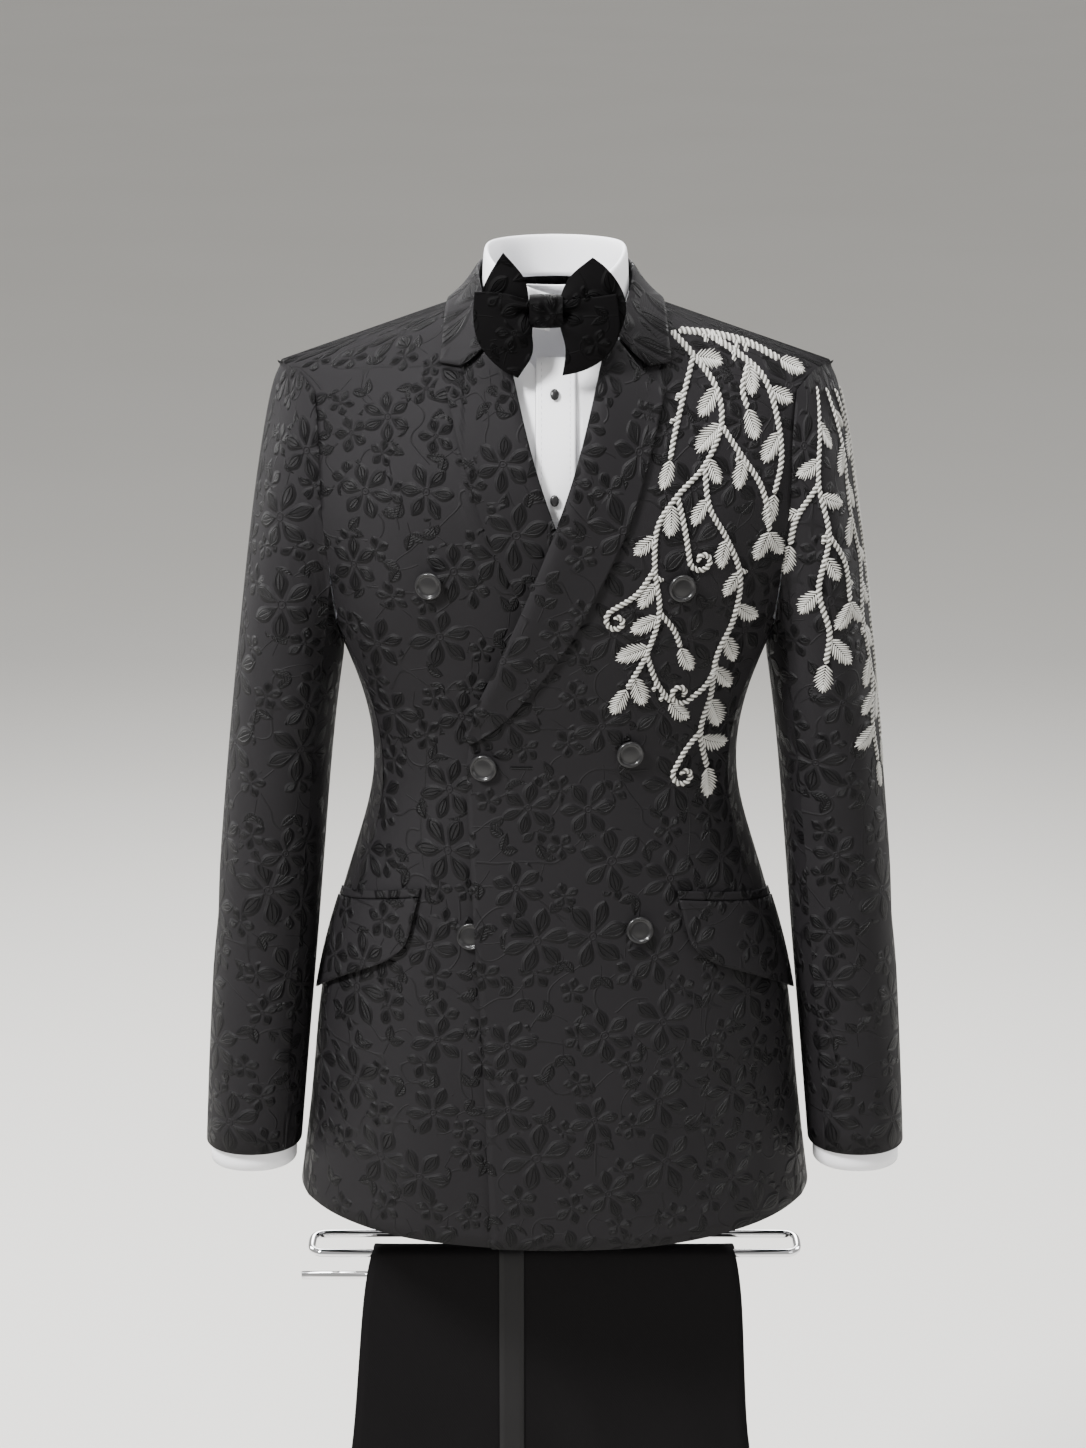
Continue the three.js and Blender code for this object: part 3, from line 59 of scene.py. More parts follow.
def maths(operation: str, turned: bool = False) -> Callable[["Socket", "Value"], "Socket"]:
    """A method that works one Math node on two values.

    Args:
        operation: The node's operation.
        turned: Swaps the two values.

    Returns:
        The method.
    """

    def method(self: "Socket", other: "Value") -> "Socket":
        """Adds the node and gives its result."""
        return self.graph.math(operation, *((other, self) if turned else (self, other)))

    return method


class Socket:
    """One value of a material's nodes, so that shader maths reads as plain sums."""

    def __init__(self, graph: "Graph", socket: bpy.types.NodeSocket) -> None:
        """Keeps the socket and the graph that it belongs to."""
        self.graph = graph
        self.socket = socket

    __add__ = __radd__ = maths("ADD")
    __mul__ = __rmul__ = maths("MULTIPLY")
    __sub__ = maths("SUBTRACT")
    __rsub__ = maths("SUBTRACT", turned=True)
    __truediv__ = maths("DIVIDE")
    __pow__ = maths("POWER")
    __lt__ = maths("LESS_THAN")
    __gt__ = maths("GREATER_THAN")
    most = maths("MAXIMUM")

    def __abs__(self) -> "Socket":
        """Drops the sign."""
        return self.graph.math("ABSOLUTE", self)

    def clamp(self) -> "Socket":
        """Holds the value between 0 and 1."""
        return Socket(self.graph, self.graph.node("ShaderNodeClamp", {}, {"Value": self}).outputs[0])


Value = Socket | float


class Graph:
    """A material and the few calls that build its nodes."""

    def __init__(self, name: str) -> None:
        """Starts an empty material of that name.

        Args:
            name: The material's name.
        """
        self.material = bpy.data.materials.new(name)
        self.material.use_nodes = True
        self.tree = self.material.node_tree
        self.tree.nodes.clear()

    def node(self, kind: str, settings: dict, sockets: dict) -> bpy.types.Node:
        """Adds one node.

        Args:
            kind: Blender's name of the node's type.
            settings: The node's own settings, set first.
            sockets: Values or links of its inputs, by name or number.

        Returns:
            The node.
        """
        made = self.tree.nodes.new(kind)
        for key, value in settings.items():
            setattr(made, key, value)
        for key, value in sockets.items():
            if isinstance(value, Socket):
                self.tree.links.new(value.socket, made.inputs[key])
            else:
                made.inputs[key].default_value = value
        return made

    def math(self, operation: str, *values: Value) -> Socket:
        """Adds a Math node and returns its result."""
        made = self.node("ShaderNodeMath", {"operation": operation}, dict(enumerate(values)))
        return Socket(self, made.outputs[0])

    def vector(self, operation: str, *values: Socket | tuple) -> Socket:
        """Adds a Vector Math node and returns its result."""
        made = self.node("ShaderNodeVectorMath", {"operation": operation}, dict(enumerate(values)))
        return Socket(self, made.outputs[0])

    def split(self, vector: Socket) -> tuple[Socket, Socket, Socket]:
        """Takes a vector apart."""
        made = self.node("ShaderNodeSeparateXYZ", {}, {0: vector})
        return tuple(Socket(self, out) for out in made.outputs)

    def blend(self, share: Value, low: Socket | Colour, high: Socket | Colour) -> Socket:
        """Mixes two colours by a share."""
        made = self.node("ShaderNodeMix", {"data_type": "RGBA"}, {0: share, 6: low, 7: high})
        return Socket(self, made.outputs[2])

    def level(self, share: Socket, low: float, high: float) -> Socket:
        """Runs from low to high as share runs from 0 to 1."""
        return share * (high - low) + low

    def uv(self) -> Socket:
        """The cloth's own flat map, in metres."""
        return Socket(self, self.node("ShaderNodeUVMap", {"uv_map": "cloth"}, {}).outputs[0])

    def place(self) -> Socket:
        """The point on the object, in metres."""
        return Socket(self, self.node("ShaderNodeTexCoord", {}, {}).outputs["Object"])

    def noise(self, at: Socket, scale: float, detail: float = 2.0) -> Socket:
        """A soft noise from 0 to 1."""
        sockets = {"Vector": at, "Scale": scale, "Detail": detail}
        return Socket(self, self.node("ShaderNodeTexNoise", {}, sockets).outputs[0])

    def near(self, value: Socket, half: float) -> Socket:
        """Gives 1 where value is 0, and fades to 0 at half on both sides."""
        return (1.0 - abs(value) * (1 / half)).clamp()

    def wave(self, value: Socket, length: float) -> Socket:
        """Swings between 0 and 1, once over each length."""
        return self.math("SINE", value * (TURN / length)) * 0.5 + 0.5

    def finish(self, height: Socket, depth: float, sockets: dict) -> bpy.types.Material:
        """Closes the material with a bump and a Principled shader.

        Args:
            height: What the bump follows, about 0 to 1.
            depth: The real height of 1, in metres.
            sockets: The shader's values and links.

        Returns:
            The material.
        """
        bump = self.node("ShaderNodeBump", {}, {"Height": height, "Distance": depth, "Strength": 1.0})
        sockets = {**sockets, "Normal": Socket(self, bump.outputs[0])}
        shader = self.node("ShaderNodeBsdfPrincipled", {}, sockets)
        output = self.node("ShaderNodeOutputMaterial", {}, {})
        self.tree.links.new(shader.outputs[0], output.inputs[0])
        return self.material


@dataclass(frozen=True)
class Motif:
    """A woven motif that is scattered over the cloth, in metres."""

    cell: float
    size: float
    stray: float
    shift: Point
    petals: int = 0
    foot: float = 0.15
    tip: float = 0.995

    def scatter(self, g: Graph, at: Socket) -> tuple:
        """Each point's place from the middle of the nearest motif, and that motif's random numbers.

        Args:
            g: The material's graph.
            at: The point on the cloth map.

        Returns:
            The place across and up, and the motif's three random numbers.
        """
        moved = g.vector("ADD", at, (*self.shift, 0))
        settings = {"voronoi_dimensions": "2D", "feature": "F1"}
        sockets = {"Vector": moved, "Scale": 1 / self.cell, "Randomness": self.stray}
        spot = g.node("ShaderNodeTexVoronoi", settings, sockets)
        x, y, _ = g.split(g.vector("SUBTRACT", moved, Socket(g, spot.outputs["Position"])))
        return x, y, g.split(Socket(g, spot.outputs["Color"]))

    def flower(self, g: Graph, at: Socket) -> tuple:
        """Flowers on the cloth map: their lines, their petals' fill and the area that they cover.

        Args:
            g: The material's graph.
            at: The point on the cloth map.

        Returns:
            The flowers' lines, their petals' fill and the area that they cover.
        """
        x, y, chance = self.scatter(g, at)
        reach = g.math("SQRT", x * x + y * y)
        radius = g.level(chance[1], self.size * 0.78, self.size * 1.12)
        wedge = 2 * math.pi / self.petals
        turn = g.math("WRAP", g.math("ARCTAN2", y, x) + chance[0] * TURN, wedge / 2, -wedge / 2)
        along = reach * g.math("COSINE", turn) / radius
        across = abs(reach * g.math("SINE", turn))
        share = ((along - self.foot) * (1 / (1 - self.foot))).clamp()
        width = radius * g.math("SINE", share**1.25 * math.pi) ** 0.85 * (1.36 / self.petals)
        away = across - width
        valid = (along < self.tip) * (along > self.foot)
        line = g.near(away, 0.0009).most(g.near(away + 0.0026, 0.0006) * 0.75)
        side_rib = g.near(across - width * 0.5, 0.0004) * (share < 0.72) * 0.6
        rib = (g.near(across, 0.0005) * 0.8).most(side_rib) * (share < 0.8)
        heart = g.near(reach - radius * 0.11, 0.0007)
        fill = (away * -420.0).clamp() ** 0.5 * valid
        lines = (line.most(rib) * valid).most(heart).most(g.near(reach, 0.0012))
        return lines, fill, (reach < radius * 0.92) * 1.0

    def leaves(self, g: Graph, at: Socket) -> tuple:
        """Leaf pairs on the cloth map: their lines and their blades' fill.

        Args:
            g: The material's graph.
            at: The point on the cloth map.

        Returns:
            The leaves' lines and their blades' fill.
        """
        x, y, chance = self.scatter(g, at)
        angle = chance[0] * TURN
        cosine, sine = g.math("COSINE", angle), g.math("SINE", angle)
        ahead = x * cosine + y * sine
        aside = abs(y * cosine - x * sine)
        along = (ahead * 0.80 + aside * 0.60) * (1 / self.size)
        across = abs(aside * 0.80 - ahead * 0.60)
        away = across - g.math("SINE", along.clamp() ** 0.8 * math.pi) * (self.size * 0.27)
        valid = (along < self.tip) * (along > self.foot)
        vein = g.wave(along * self.size + across * 0.9, 0.0026)
        line = g.near(away, 0.0008).most(g.near(across, 0.0005))
        fill = (away * -1400.0).clamp() * valid
        stem = g.near(aside, 0.0006) * (ahead < 0.0) * (ahead > -self.size * 0.9)
        return (line * valid).most(stem * 0.8).most(fill * vein * 0.35), fill


LARGE_FLOWER = Motif(0.066, 0.0275, 0.55, (0.31, 0.527), 6)
SMALL_FLOWER = Motif(0.041, 0.0145, 0.55, (0.77, 1.309), 5)
LEAF_PAIR = Motif(0.033, 0.0150, 0.8, (1.23, 0.738), foot=0.03)


@dataclass(frozen=True)
class Jacquard:
    """Black cloth with flowers, leaf pairs and stems woven in, glossier than the ground."""

    name: str
    ground: Colour
    motif: Colour
    relief: float = 0.0024
    shine: float = 0.15

    def build(self) -> bpy.types.Material:
        """Makes the material.

        Returns:
            The material.
        """
        g = Graph(self.name)
        at = g.uv()
        sway = g.node("ShaderNodeTexNoise", {}, {"Vector": at, "Scale": 22.0, "Detail": 1.0})
        bent = g.vector("MULTIPLY_ADD", Socket(g, sway.outputs["Color"]), (0.010, 0.010, 0.0), at)
        large, large_fill, large_cover = LARGE_FLOWER.flower(g, bent)
        small, small_fill, small_cover = SMALL_FLOWER.flower(g, bent)
        leaf, leaf_fill = LEAF_PAIR.leaves(g, bent)
        stem = g.near(g.noise(bent, 26.0, 0.0) - 0.5, 0.016) * 0.9
        free = 1.0 - large_cover
        clear = free * (1.0 - small_cover)
        lines = large.most(small * free).most(leaf * clear).most(stem * clear * (1.0 - leaf_fill))
        fill = large_fill.most(small_fill * free).most(leaf_fill * clear)
        grain = g.noise(at, 1500.0, 1.0)
        u, v, _ = g.split(at)
        rib = g.wave(u + v * 1.9, 0.0018)
        height = fill * 0.80 - lines * 0.45 * fill + lines * 0.25 * (1.0 - fill) + rib * 0.06 + grain * 0.08
        shade = g.blend((fill * 0.75 + lines * 0.60).clamp(), self.ground, self.motif)
        pale = (*(1.9 * c for c in self.ground[:3]), 1.0)
        rough = g.level((fill * 0.7 + lines * 0.5).clamp(), 0.62, 0.34) + grain * 0.08
        finish = {
            "Base Color": g.blend(g.level(g.noise(at, 9.0, 2.0), 0.0, 0.22), shade, pale),
            "Roughness": rough,
            "Specular IOR Level": self.shine,
        }
        return g.finish(height, self.relief, finish)


@dataclass(frozen=True)
class Weave:
    """A plain woven cloth: its colour, its thread pitch and how it shines."""

    name: str
    colour: Colour
    tint: Colour
    pitch: float
    slant: float
    relief: float
    roughness: float
    sheen: float = 0.0
    shine: float = 0.06

    def build(self) -> bpy.types.Material:
        """Makes the material from the point on the object, so that tubes have no join.

        Returns:
            The material.
        """
        g = Graph(self.name)
        at = g.place()
        x, y, z = g.split(at)
        rib = g.wave(z + (x + y) * self.slant, self.pitch)
        cross = g.wave(x + y - z * self.slant * 0.4, self.pitch)
        cloud = g.noise(at, 11.0, 3.0)
        grain = g.noise(at, 1300.0, 2.0)
        slub = g.noise(g.vector("MULTIPLY", at, (1.0, 1.0, 0.04)), 900.0, 1.0)
        height = rib * 0.4 + cross * 0.25 + grain * 0.35
        share = (cloud * 0.6 + slub * 0.25 + grain * 0.3).clamp()
        finish = {
            "Base Color": g.blend(share, self.colour, self.tint),
            "Roughness": g.level(cloud, self.roughness - 0.05, self.roughness + 0.05),
            "Sheen Weight": self.sheen,
            "Sheen Roughness": 0.4,
            "Specular IOR Level": self.shine,
        }
        return g.finish(height, self.relief, finish)


@dataclass(frozen=True)
class Thread:
    """Silk thread: the map runs in metres along a strand, and from -1 to 1 mm across it. Its colour darkens
    to the tint in the grooves between strands, as painted shade.
    """

    name: str
    colour: Colour
    # The tint is the dark colour painted into the grooves between strands as shade.
    tint: Colour
    pitch: float = 0.0042
    slant: float = 0.42
    relief: float = 0.00022

    def build(self) -> bpy.types.Material:
        """Makes the material.

        Returns:
            The material.
        """
        g = Graph(self.name)
        at = g.uv()
        u, v, _ = g.split(at)
        strand = g.math("COSINE", (u * (1 / self.pitch) + v * (self.slant / MM)) * TURN) * 0.5 + 0.5
        cloud = g.noise(at, 160.0, 2.0)
        fleck = g.noise(g.place(), 2200.0, 1.0)
        # Painted shade: the colour falls to the tint in the grooves between strands, where the bump is low;
        # cloud and fleck add a random tone.
        share = (strand * 1.05 + cloud * 0.2 + fleck * 0.2 - 0.2).clamp()
        finish = {
            "Base Color": g.blend(share, self.tint, self.colour),
            "Roughness": g.level(cloud, 0.42, 0.6),
            "Specular IOR Level": 0.25,
        }
        return g.finish(strand * 0.7 + fleck * 0.3, self.relief, finish)


@dataclass(frozen=True)
class Polish:
    """A hard polished finish, as on horn-like buttons or chromed steel."""

    name: str
    colour: Colour
    tint: Colour
    roughness: float
    metallic: float
    coat: float
    relief: float

    def build(self) -> bpy.types.Material:
        """Makes the material.

        Returns:
            The material.
        """
        g = Graph(self.name)
        at = g.place()
        cloud = g.noise(at, 60.0, 4.0)
        speck = g.noise(at, 700.0, 3.0)
        scratch = g.noise(g.vector("MULTIPLY", at, (1.0, 0.15, 1.0)), 500.0, 2.0)
        finish = {
            "Base Color": g.blend(cloud, self.colour, self.tint),
            "Roughness": g.level(cloud * 0.6 + scratch * 0.4, self.roughness * 0.7, self.roughness * 1.5),
            "Metallic": self.metallic,
            "Coat Weight": self.coat,
            "Coat Roughness": 0.08,
            "Specular IOR Level": 0.5 if self.metallic else 0.22,
        }
        return g.finish(speck * 0.6 + scratch * 0.4, self.relief, finish)


class Finish(Enum):
    """The finishes that the set is made in."""

    JACQUARD = Jacquard("jacket jacquard", (0.0088, 0.0080, 0.0090, 1), (0.0012, 0.0011, 0.0013, 1))
    BOW = Jacquard("bow jacquard", (0.0020, 0.0018, 0.0020, 1), (0.0005, 0.0004, 0.0005, 1), 0.0016, 0.05)
    LINING = Weave(
        "black lining satin", (0.005, 0.005, 0.0055, 1), (0.009, 0.009, 0.010, 1),
        pitch=0.0012, slant=0.2, relief=0.00008, roughness=0.36,
    )
    POPLIN = Weave(
        "white poplin", (0.88, 0.88, 0.91, 1), (0.93, 0.93, 0.95, 1),
        pitch=0.0009, slant=0.0, relief=0.00008, roughness=0.62, sheen=0.1,
    )
    WOOL = Weave(
        "black trouser wool", (0.0042, 0.0038, 0.0041, 1), (0.0066, 0.0060, 0.0065, 1),
        pitch=0.0014, slant=0.9, relief=0.00016, roughness=0.70,
    )
    SATIN = Weave(
        "satin stripe", (0.0075, 0.0071, 0.0075, 1), (0.0130, 0.0125, 0.0130, 1),
        pitch=0.0010, slant=0.1, relief=0.00006, roughness=0.42, shine=0.14,
    )
    # Each thread's second colour is painted shade, laid into the grooves between its strands.
    SILK = Thread("ivory silk", (0.56, 0.55, 0.515, 1), (0.060, 0.058, 0.052, 1))
    BLACK_THREAD = Thread("black buttonhole silk", (0.0040, 0.0037, 0.0040, 1), (0.0012, 0.0012, 0.0012, 1))
    WHITE_THREAD = Thread("white sewing thread", (0.80, 0.80, 0.82, 1), (0.60, 0.60, 0.64, 1))
    HORN = Polish(
        "black horn", (0.0085, 0.0083, 0.0088, 1), (0.0150, 0.0145, 0.0150, 1),
        roughness=0.34, metallic=0.0, coat=0.40, relief=0.00005,
    )
    CHROME = Polish(
        "chromed steel", (0.78, 0.78, 0.80, 1), (0.86, 0.86, 0.87, 1),
        roughness=0.07, metallic=1.0, coat=0.0, relief=0.00001,
    )

    def material(self) -> bpy.types.Material:
        """The finish's material, made once."""
        return bpy.data.materials.get(self.value.name) or self.value.build()


@dataclass(frozen=True)
class Creases:
    """Soft troughs and ridges in cloth, in millimetres on the piece as seen from its front.

    Each row is one crease: where it starts across and up, where it ends, its width and its depth.
    """

    rows: tuple

    def one(self, row: tuple, across: np.ndarray, up: np.ndarray) -> np.ndarray:
        """How far one crease moves the cloth out.

        Args:
            row: The crease.
            across: The points' places across, in millimetres.
            up: Their heights, in millimetres.

        Returns:
            The move of each point, in millimetres.
        """
        x, z, end_x, end_z, width, depth = row
        run = (end_x - x, end_z - z)
        length = float(np.hypot(*run))
        along = ((across - x) * run[0] + (up - z) * run[1]) / length**2
        inside = np.clip(along, 0, 1)
        off = np.hypot(across - x - inside * run[0], up - z - inside * run[1])
        fade = np.sin(np.pi * np.clip(along * 0.84 + 0.08, 0, 1)) ** 0.7
        return depth * np.exp(-((off / width) ** 2)) * fade

    def lift(self, co: np.ndarray) -> np.ndarray:
        """How far all creases move the cloth out at points in metres."""
        return self.lift_at(co[:, 0], co[:, 2])

    def lift_at(self, across: np.ndarray, up: np.ndarray) -> np.ndarray:
        """The same at places across and up, all in metres."""
        return sum(self.one(row, across / MM, up / MM) for row in self.rows) * MM


def unit(rows: np.ndarray) -> np.ndarray:
    """The rows at length 1."""
    return rows / np.maximum(np.linalg.norm(rows, axis=1, keepdims=True), 1e-9)


@dataclass(frozen=True)
class Torso:
    """The figure that the jacket was cut for: half width and depths by height, in millimetres."""

    heights: tuple = (-800, -700, -600, -540, -480, -430, -385, -340, -300, -250, -190, -113, -54, 40)
    half_widths: tuple = (226, 213, 203, 191, 173, 159, 154, 160, 174, 197, 213, 222, 232, 235)
    fronts: tuple = (128, 126, 120, 114, 108, 104, 103, 106, 111, 116, 119, 120, 120, 120)
    backs: tuple = (138, 136, 130, 122, 110, 98, 92, 94, 102, 112, 118, 120, 120, 120)
    power: float = 1.2
    creases: Creases = Creases((
        (-48, -368, 70, -318, 15, -1.3), (-44, -384, 92, -398, 17, -1.1),
        (-70, -360, -140, -318, 16, -1.2), (-72, -388, -150, -420, 18, -1.1),
        (150, -470, 168, -372, 17, -1.4), (-150, -470, -168, -372, 17, -1.4),
        (60, -780, 74, -600, 34, 2.0), (135, -790, 140, -640, 32, -2.0),
        (-110, -780, -112, -620, 36, 2.0), (-165, -790, -172, -650, 28, -1.8),
        (176, -250, 150, -170, 22, -1.8), (-176, -250, -150, -170, 22, -1.8),
        (196, -206, 186, -120, 16, 1.5), (-196, -206, -186, -120, 16, 1.5),
    ))
    back_creases: Creases = Creases((
        (30, -330, 120, -382, 20, -2.4), (-28, -344, -122, -376, 20, -2.4),
        (24, -402, 110, -420, 18, -1.8), (-30, -412, -104, -436, 18, -1.8),
        (150, -300, 178, -180, 24, -2.4), (-150, -300, -176, -190, 24, -2.4),
        (60, -780, 54, -560, 34, 2.2), (-66, -780, -60, -580, 34, 2.2),
        (130, -785, 124, -600, 30, -2.0), (-128, -785, -120, -610, 30, -2.0),
    ))
    neck_half: float = 0.075
    neck_rise: float = 0.026
    shoulder_drop: float = 0.054
    shoulder_run: float = 0.154
    flank_blend: float = 0.012

    def read(self, co: np.ndarray) -> tuple[np.ndarray, np.ndarray]:
        """Half width and depth at each point, in metres.

        Args:
            co: The points.

        Returns:
            One value of each for each point.
        """
        columns = (self.half_widths, self.fronts, self.backs)
        wide, front, back = (np.interp(co[:, 2] / MM, self.heights, column) * MM for column in columns)
        return wide, np.where(co[:, 1] > 0, back, front)

    def outward(self, co: np.ndarray) -> np.ndarray:
        """The level direction away from the figure at each point."""
        wide, deep = self.read(co)
        return unit(np.stack([co[:, 0] / wide**2, co[:, 1] / deep**2, np.zeros(len(co))], 1))

    def drape(self, co: np.ndarray) -> np.ndarray:
        """The points with the jacket's soft creases, the same for all that lies on it.

        Args:
            co: The points.

        Returns:
            The moved points.
        """
        front = self.creases.lift(co)
        back = self.back_creases.lift(co)
        facing = 1 / (1 + np.exp(co[:, 1] / self.flank_blend))
        return co + self.outward(co) * (front * facing + back * (1 - facing))[:, None]

    def grain(self, co: np.ndarray, from_back: bool = False) -> np.ndarray:
        """The flat place of each point on the cut cloth, in metres.

        Args:
            co: The points.
            from_back: Measures round from the middle of the back and not of the front.

        Returns:
            Distance round the figure and height along the cloth.
        """
        wide, deep = self.read(co)
        x, y = np.abs(co[:, 0]), np.abs(co[:, 1])
        slope = -self.shoulder_drop * (x - self.neck_half) / self.shoulder_run
        ridge = np.where(x < self.neck_half, self.neck_rise, slope)
        drop = np.clip((ridge - co[:, 2]) / 0.2, 0, 1)
        fall = np.linspace(0, 1, 80)
        curve = 0.12 * (1 - (1 - fall) ** 2) ** 0.65
        run = np.concatenate([[0], np.cumsum(np.hypot(np.diff(fall) * 0.2, np.diff(curve)))])
        up = np.where(drop < 1, ridge - np.interp(drop, fall, run), co[:, 2] - run[-1] + 0.2)
        shallow = np.maximum((1 - (1 - drop) ** 2) ** 0.6, 0.15)
        turn = np.arctan2((x / wide) ** self.power, (y / (deep * shallow)) ** self.power)
        steps = np.linspace(0, 1, 40)[None, :] * turn[:, None]
        px = wide[:, None] * np.sin(steps) ** (1 / self.power)
        py = deep[:, None] * np.abs(np.cos(steps)) ** (1 / self.power)
        arc = np.hypot(np.diff(px, axis=1), np.diff(py, axis=1)).sum(1)
        quarter = 1.216 * (wide + deep)
        around = np.where((co[:, 1] > 0) != from_back, 1.5 * quarter - arc, arc)
        return np.stack([np.sign(co[:, 0]) * around + (1.7 if from_back else 0.0), up], 1)


@dataclass(frozen=True)
class Arm:
    """A sleeve's middle line and radius by height, in millimetres, on the wearer's left."""

    heights: tuple = (-734, -600, -450, -330, -240, -60)
    across: tuple = (262, 250, 236.5, 226, 219, 208)
    forward: tuple = (-23, -13, -4, 1, 2, 1)
    radii: tuple = (43, 50, 57, 61, 63, 63)
    creases: Creases = Creases((
        (-34, -470, 30, -432, 15, -2.0), (-30, -520, 26, -492, 14, -1.6),
        (-46, -395, 18, -372, 16, -1.5), (20, -250, 52, -150, 18, -1.6),
        (-60, -320, -14, -262, 18, -1.8), (60, -560, 96, -500, 18, -1.6),
        (-20, -700, -12, -590, 16, 1.4),
    ))

    def middle(self, z: np.ndarray) -> tuple[np.ndarray, np.ndarray, np.ndarray]:
        """Middle line and radius at heights in metres."""
        up = np.asarray(z) / MM
        return tuple(np.interp(up, self.heights, row) * MM for row in (self.across, self.forward, self.radii))

    def outward(self, co: np.ndarray) -> np.ndarray:
        """The level direction away from the sleeve's middle line at each point."""
        cx, cy, _ = self.middle(co[:, 2])
        return unit(np.stack([co[:, 0] - np.sign(co[:, 0]) * cx, co[:, 1] - cy, np.zeros(len(co))], 1))

    def drape(self, co: np.ndarray) -> np.ndarray:
        """The points with the sleeve's soft creases.

        Args:
            co: The points.

        Returns:
            The moved points.
        """
        out, radius = self.outward(co), self.middle(co[:, 2])[2]
        around = np.arctan2(out[:, 0] * np.sign(co[:, 0]), -out[:, 1]) * radius
        return co + out * self.creases.lift_at(around, co[:, 2])[:, None]

    def grain(self, co: np.ndarray, under: bool) -> np.ndarray:
        """The flat place of each point on the cut sleeve, in metres.

        Args:
            co: The points.
            under: Measures round from the under sleeve's own middle.

        Returns:
            Distance round the sleeve and height.
        """
        cx, cy, radius = self.middle(co[:, 2])
        out = np.abs(co[:, 0]) - cx
        angle = np.arctan2(co[:, 1] - cy, -out if under else out)
        shift = 0.9 if under else 3.1
        return np.stack([angle * radius * np.sign(co[:, 0]) + shift, co[:, 2]], 1)


TORSO = Torso()
ARM = Arm()


def read_points(mesh: bpy.types.Mesh) -> np.ndarray:
    """The mesh's points as an array.

    Args:
        mesh: The mesh.

    Returns:
        One row for each point, in metres.
    """
    co = np.empty(len(mesh.vertices) * 3, np.float32)
    mesh.vertices.foreach_get("co", co)
    return co.reshape(-1, 3).astype(float)


def write_points(mesh: bpy.types.Mesh, co: np.ndarray) -> None:
    """Puts an array of points back into the mesh."""
    mesh.vertices.foreach_set("co", co.astype(np.float32).ravel())
    mesh.update()


def write_map(mesh: bpy.types.Mesh, flat: np.ndarray) -> None:
    """Stores the cloth map, given point by point.

    Args:
        mesh: The mesh.
        flat: Each point's place on the flat cloth, in metres.
    """
    index = np.empty(len(mesh.loops), np.int32)
    mesh.loops.foreach_get("vertex_index", index)
    layer = mesh.uv_layers.new(name="cloth")
    layer.data.foreach_set("uv", flat[index].astype(np.float32).ravel())


def linked(name: str, data: bpy.types.ID) -> bpy.types.Object:
    """A new object in the scene, at the origin.

    Args:
        name: Its name.
        data: Its mesh, lamp or camera.

    Returns:
        The object.
    """
    made = bpy.data.objects.new(name, data)
    bpy.context.scene.collection.objects.link(made)
    return made


def gathered(name: str, bm: bmesh.types.BMesh) -> bpy.types.Object:
    """A new object of a finished bmesh, which is freed.

    Args:
        name: Its name.
        bm: The finished bmesh.

    Returns:
        The object.
    """
    mesh = bpy.data.meshes.new(name)
    bm.to_mesh(mesh)
    bm.free()
    return linked(name, mesh)


def settled(piece: bpy.types.Object) -> bpy.types.Object:
    """Turns a piece's modifiers into mesh.

    Args:
        piece: The piece.

    Returns:
        The same piece.
    """
    shown = piece.evaluated_get(bpy.context.evaluated_depsgraph_get())
    mesh = bpy.data.meshes.new_from_object(shown)
    piece.modifiers.clear()
    piece.data = mesh
    return piece


def refit(piece: bpy.types.Object, node: str) -> None:
    """Stretches a rounded piece back to its solid's own box.

    Args:
        piece: The rounded piece.
        node: The solid's name.
    """
    solid, made = read_points(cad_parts[node].data), read_points(piece.data)
    low, high = made.min(0), made.max(0)
    share = (made - low) / (high - low)
    write_points(piece.data, solid.min(0) + share * (solid.max(0) - solid.min(0)))


def smooth_copy(
    node: str, levels: int = 2, hard: bool = False, wall: float = 2.75, grow: float = 0.0
) -> bpy.types.Object:
    """A rounded copy of a solid, with its cut edges kept crisp.

    Args:
        node: The solid's name.
        levels: How often its faces are divided.
        hard: Keeps every sharp edge, as on metal.
        wall: Faces narrower than this, in millimetres, are cut edges.
        grow: How far the cut edges move out to close a seam, in millimetres.

    Returns:
        The new piece.
    """
    flat, skew = math.radians(40), math.radians(60)
    fold, straight = math.radians(50 if hard else 38), -math.cos(math.radians(30))
    bm = bmesh.new()
    bm.from_mesh(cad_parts[node].data)
    bmesh.ops.remove_doubles(bm, verts=bm.verts, dist=MERGE_DISTANCE)
    bmesh.ops.join_triangles(bm, faces=bm.faces, angle_face_threshold=flat, angle_shape_threshold=skew)
    crease = bm.edges.layers.float.new("crease_edge")
    corner = bm.verts.layers.float.new("crease_vert")
    slim = {face: min(e.calc_length() for e in face.edges) < wall * MM for face in bm.faces}
    for edge in bm.edges:
        if edge.calc_face_angle(0.0) >= fold and (hard or any(slim[face] for face in edge.link_faces)):
            edge[crease] = 1.0
    push = {vert: Vector() for vert in bm.verts}
    for face in bm.faces:
        if slim[face] and sum(1 for e in face.edges if e[crease] > 0) >= 2:
            for vert in face.verts:
                push[vert] += face.normal
    for vert in bm.verts:
        vert.co += push[vert].normalized() * (grow * MM)
        ways = [(e.other_vert(vert).co - vert.co).normalized() for e in vert.link_edges if e[crease] > 0]
        if ways and not any(a.dot(b) < straight for a in ways for b in ways):
            vert[corner] = 1.0
    piece = gathered(node + "_made", bm)
    divide = piece.modifiers.new("divide", "SUBSURF")
    divide.levels = divide.render_levels = levels
    return settled(piece)


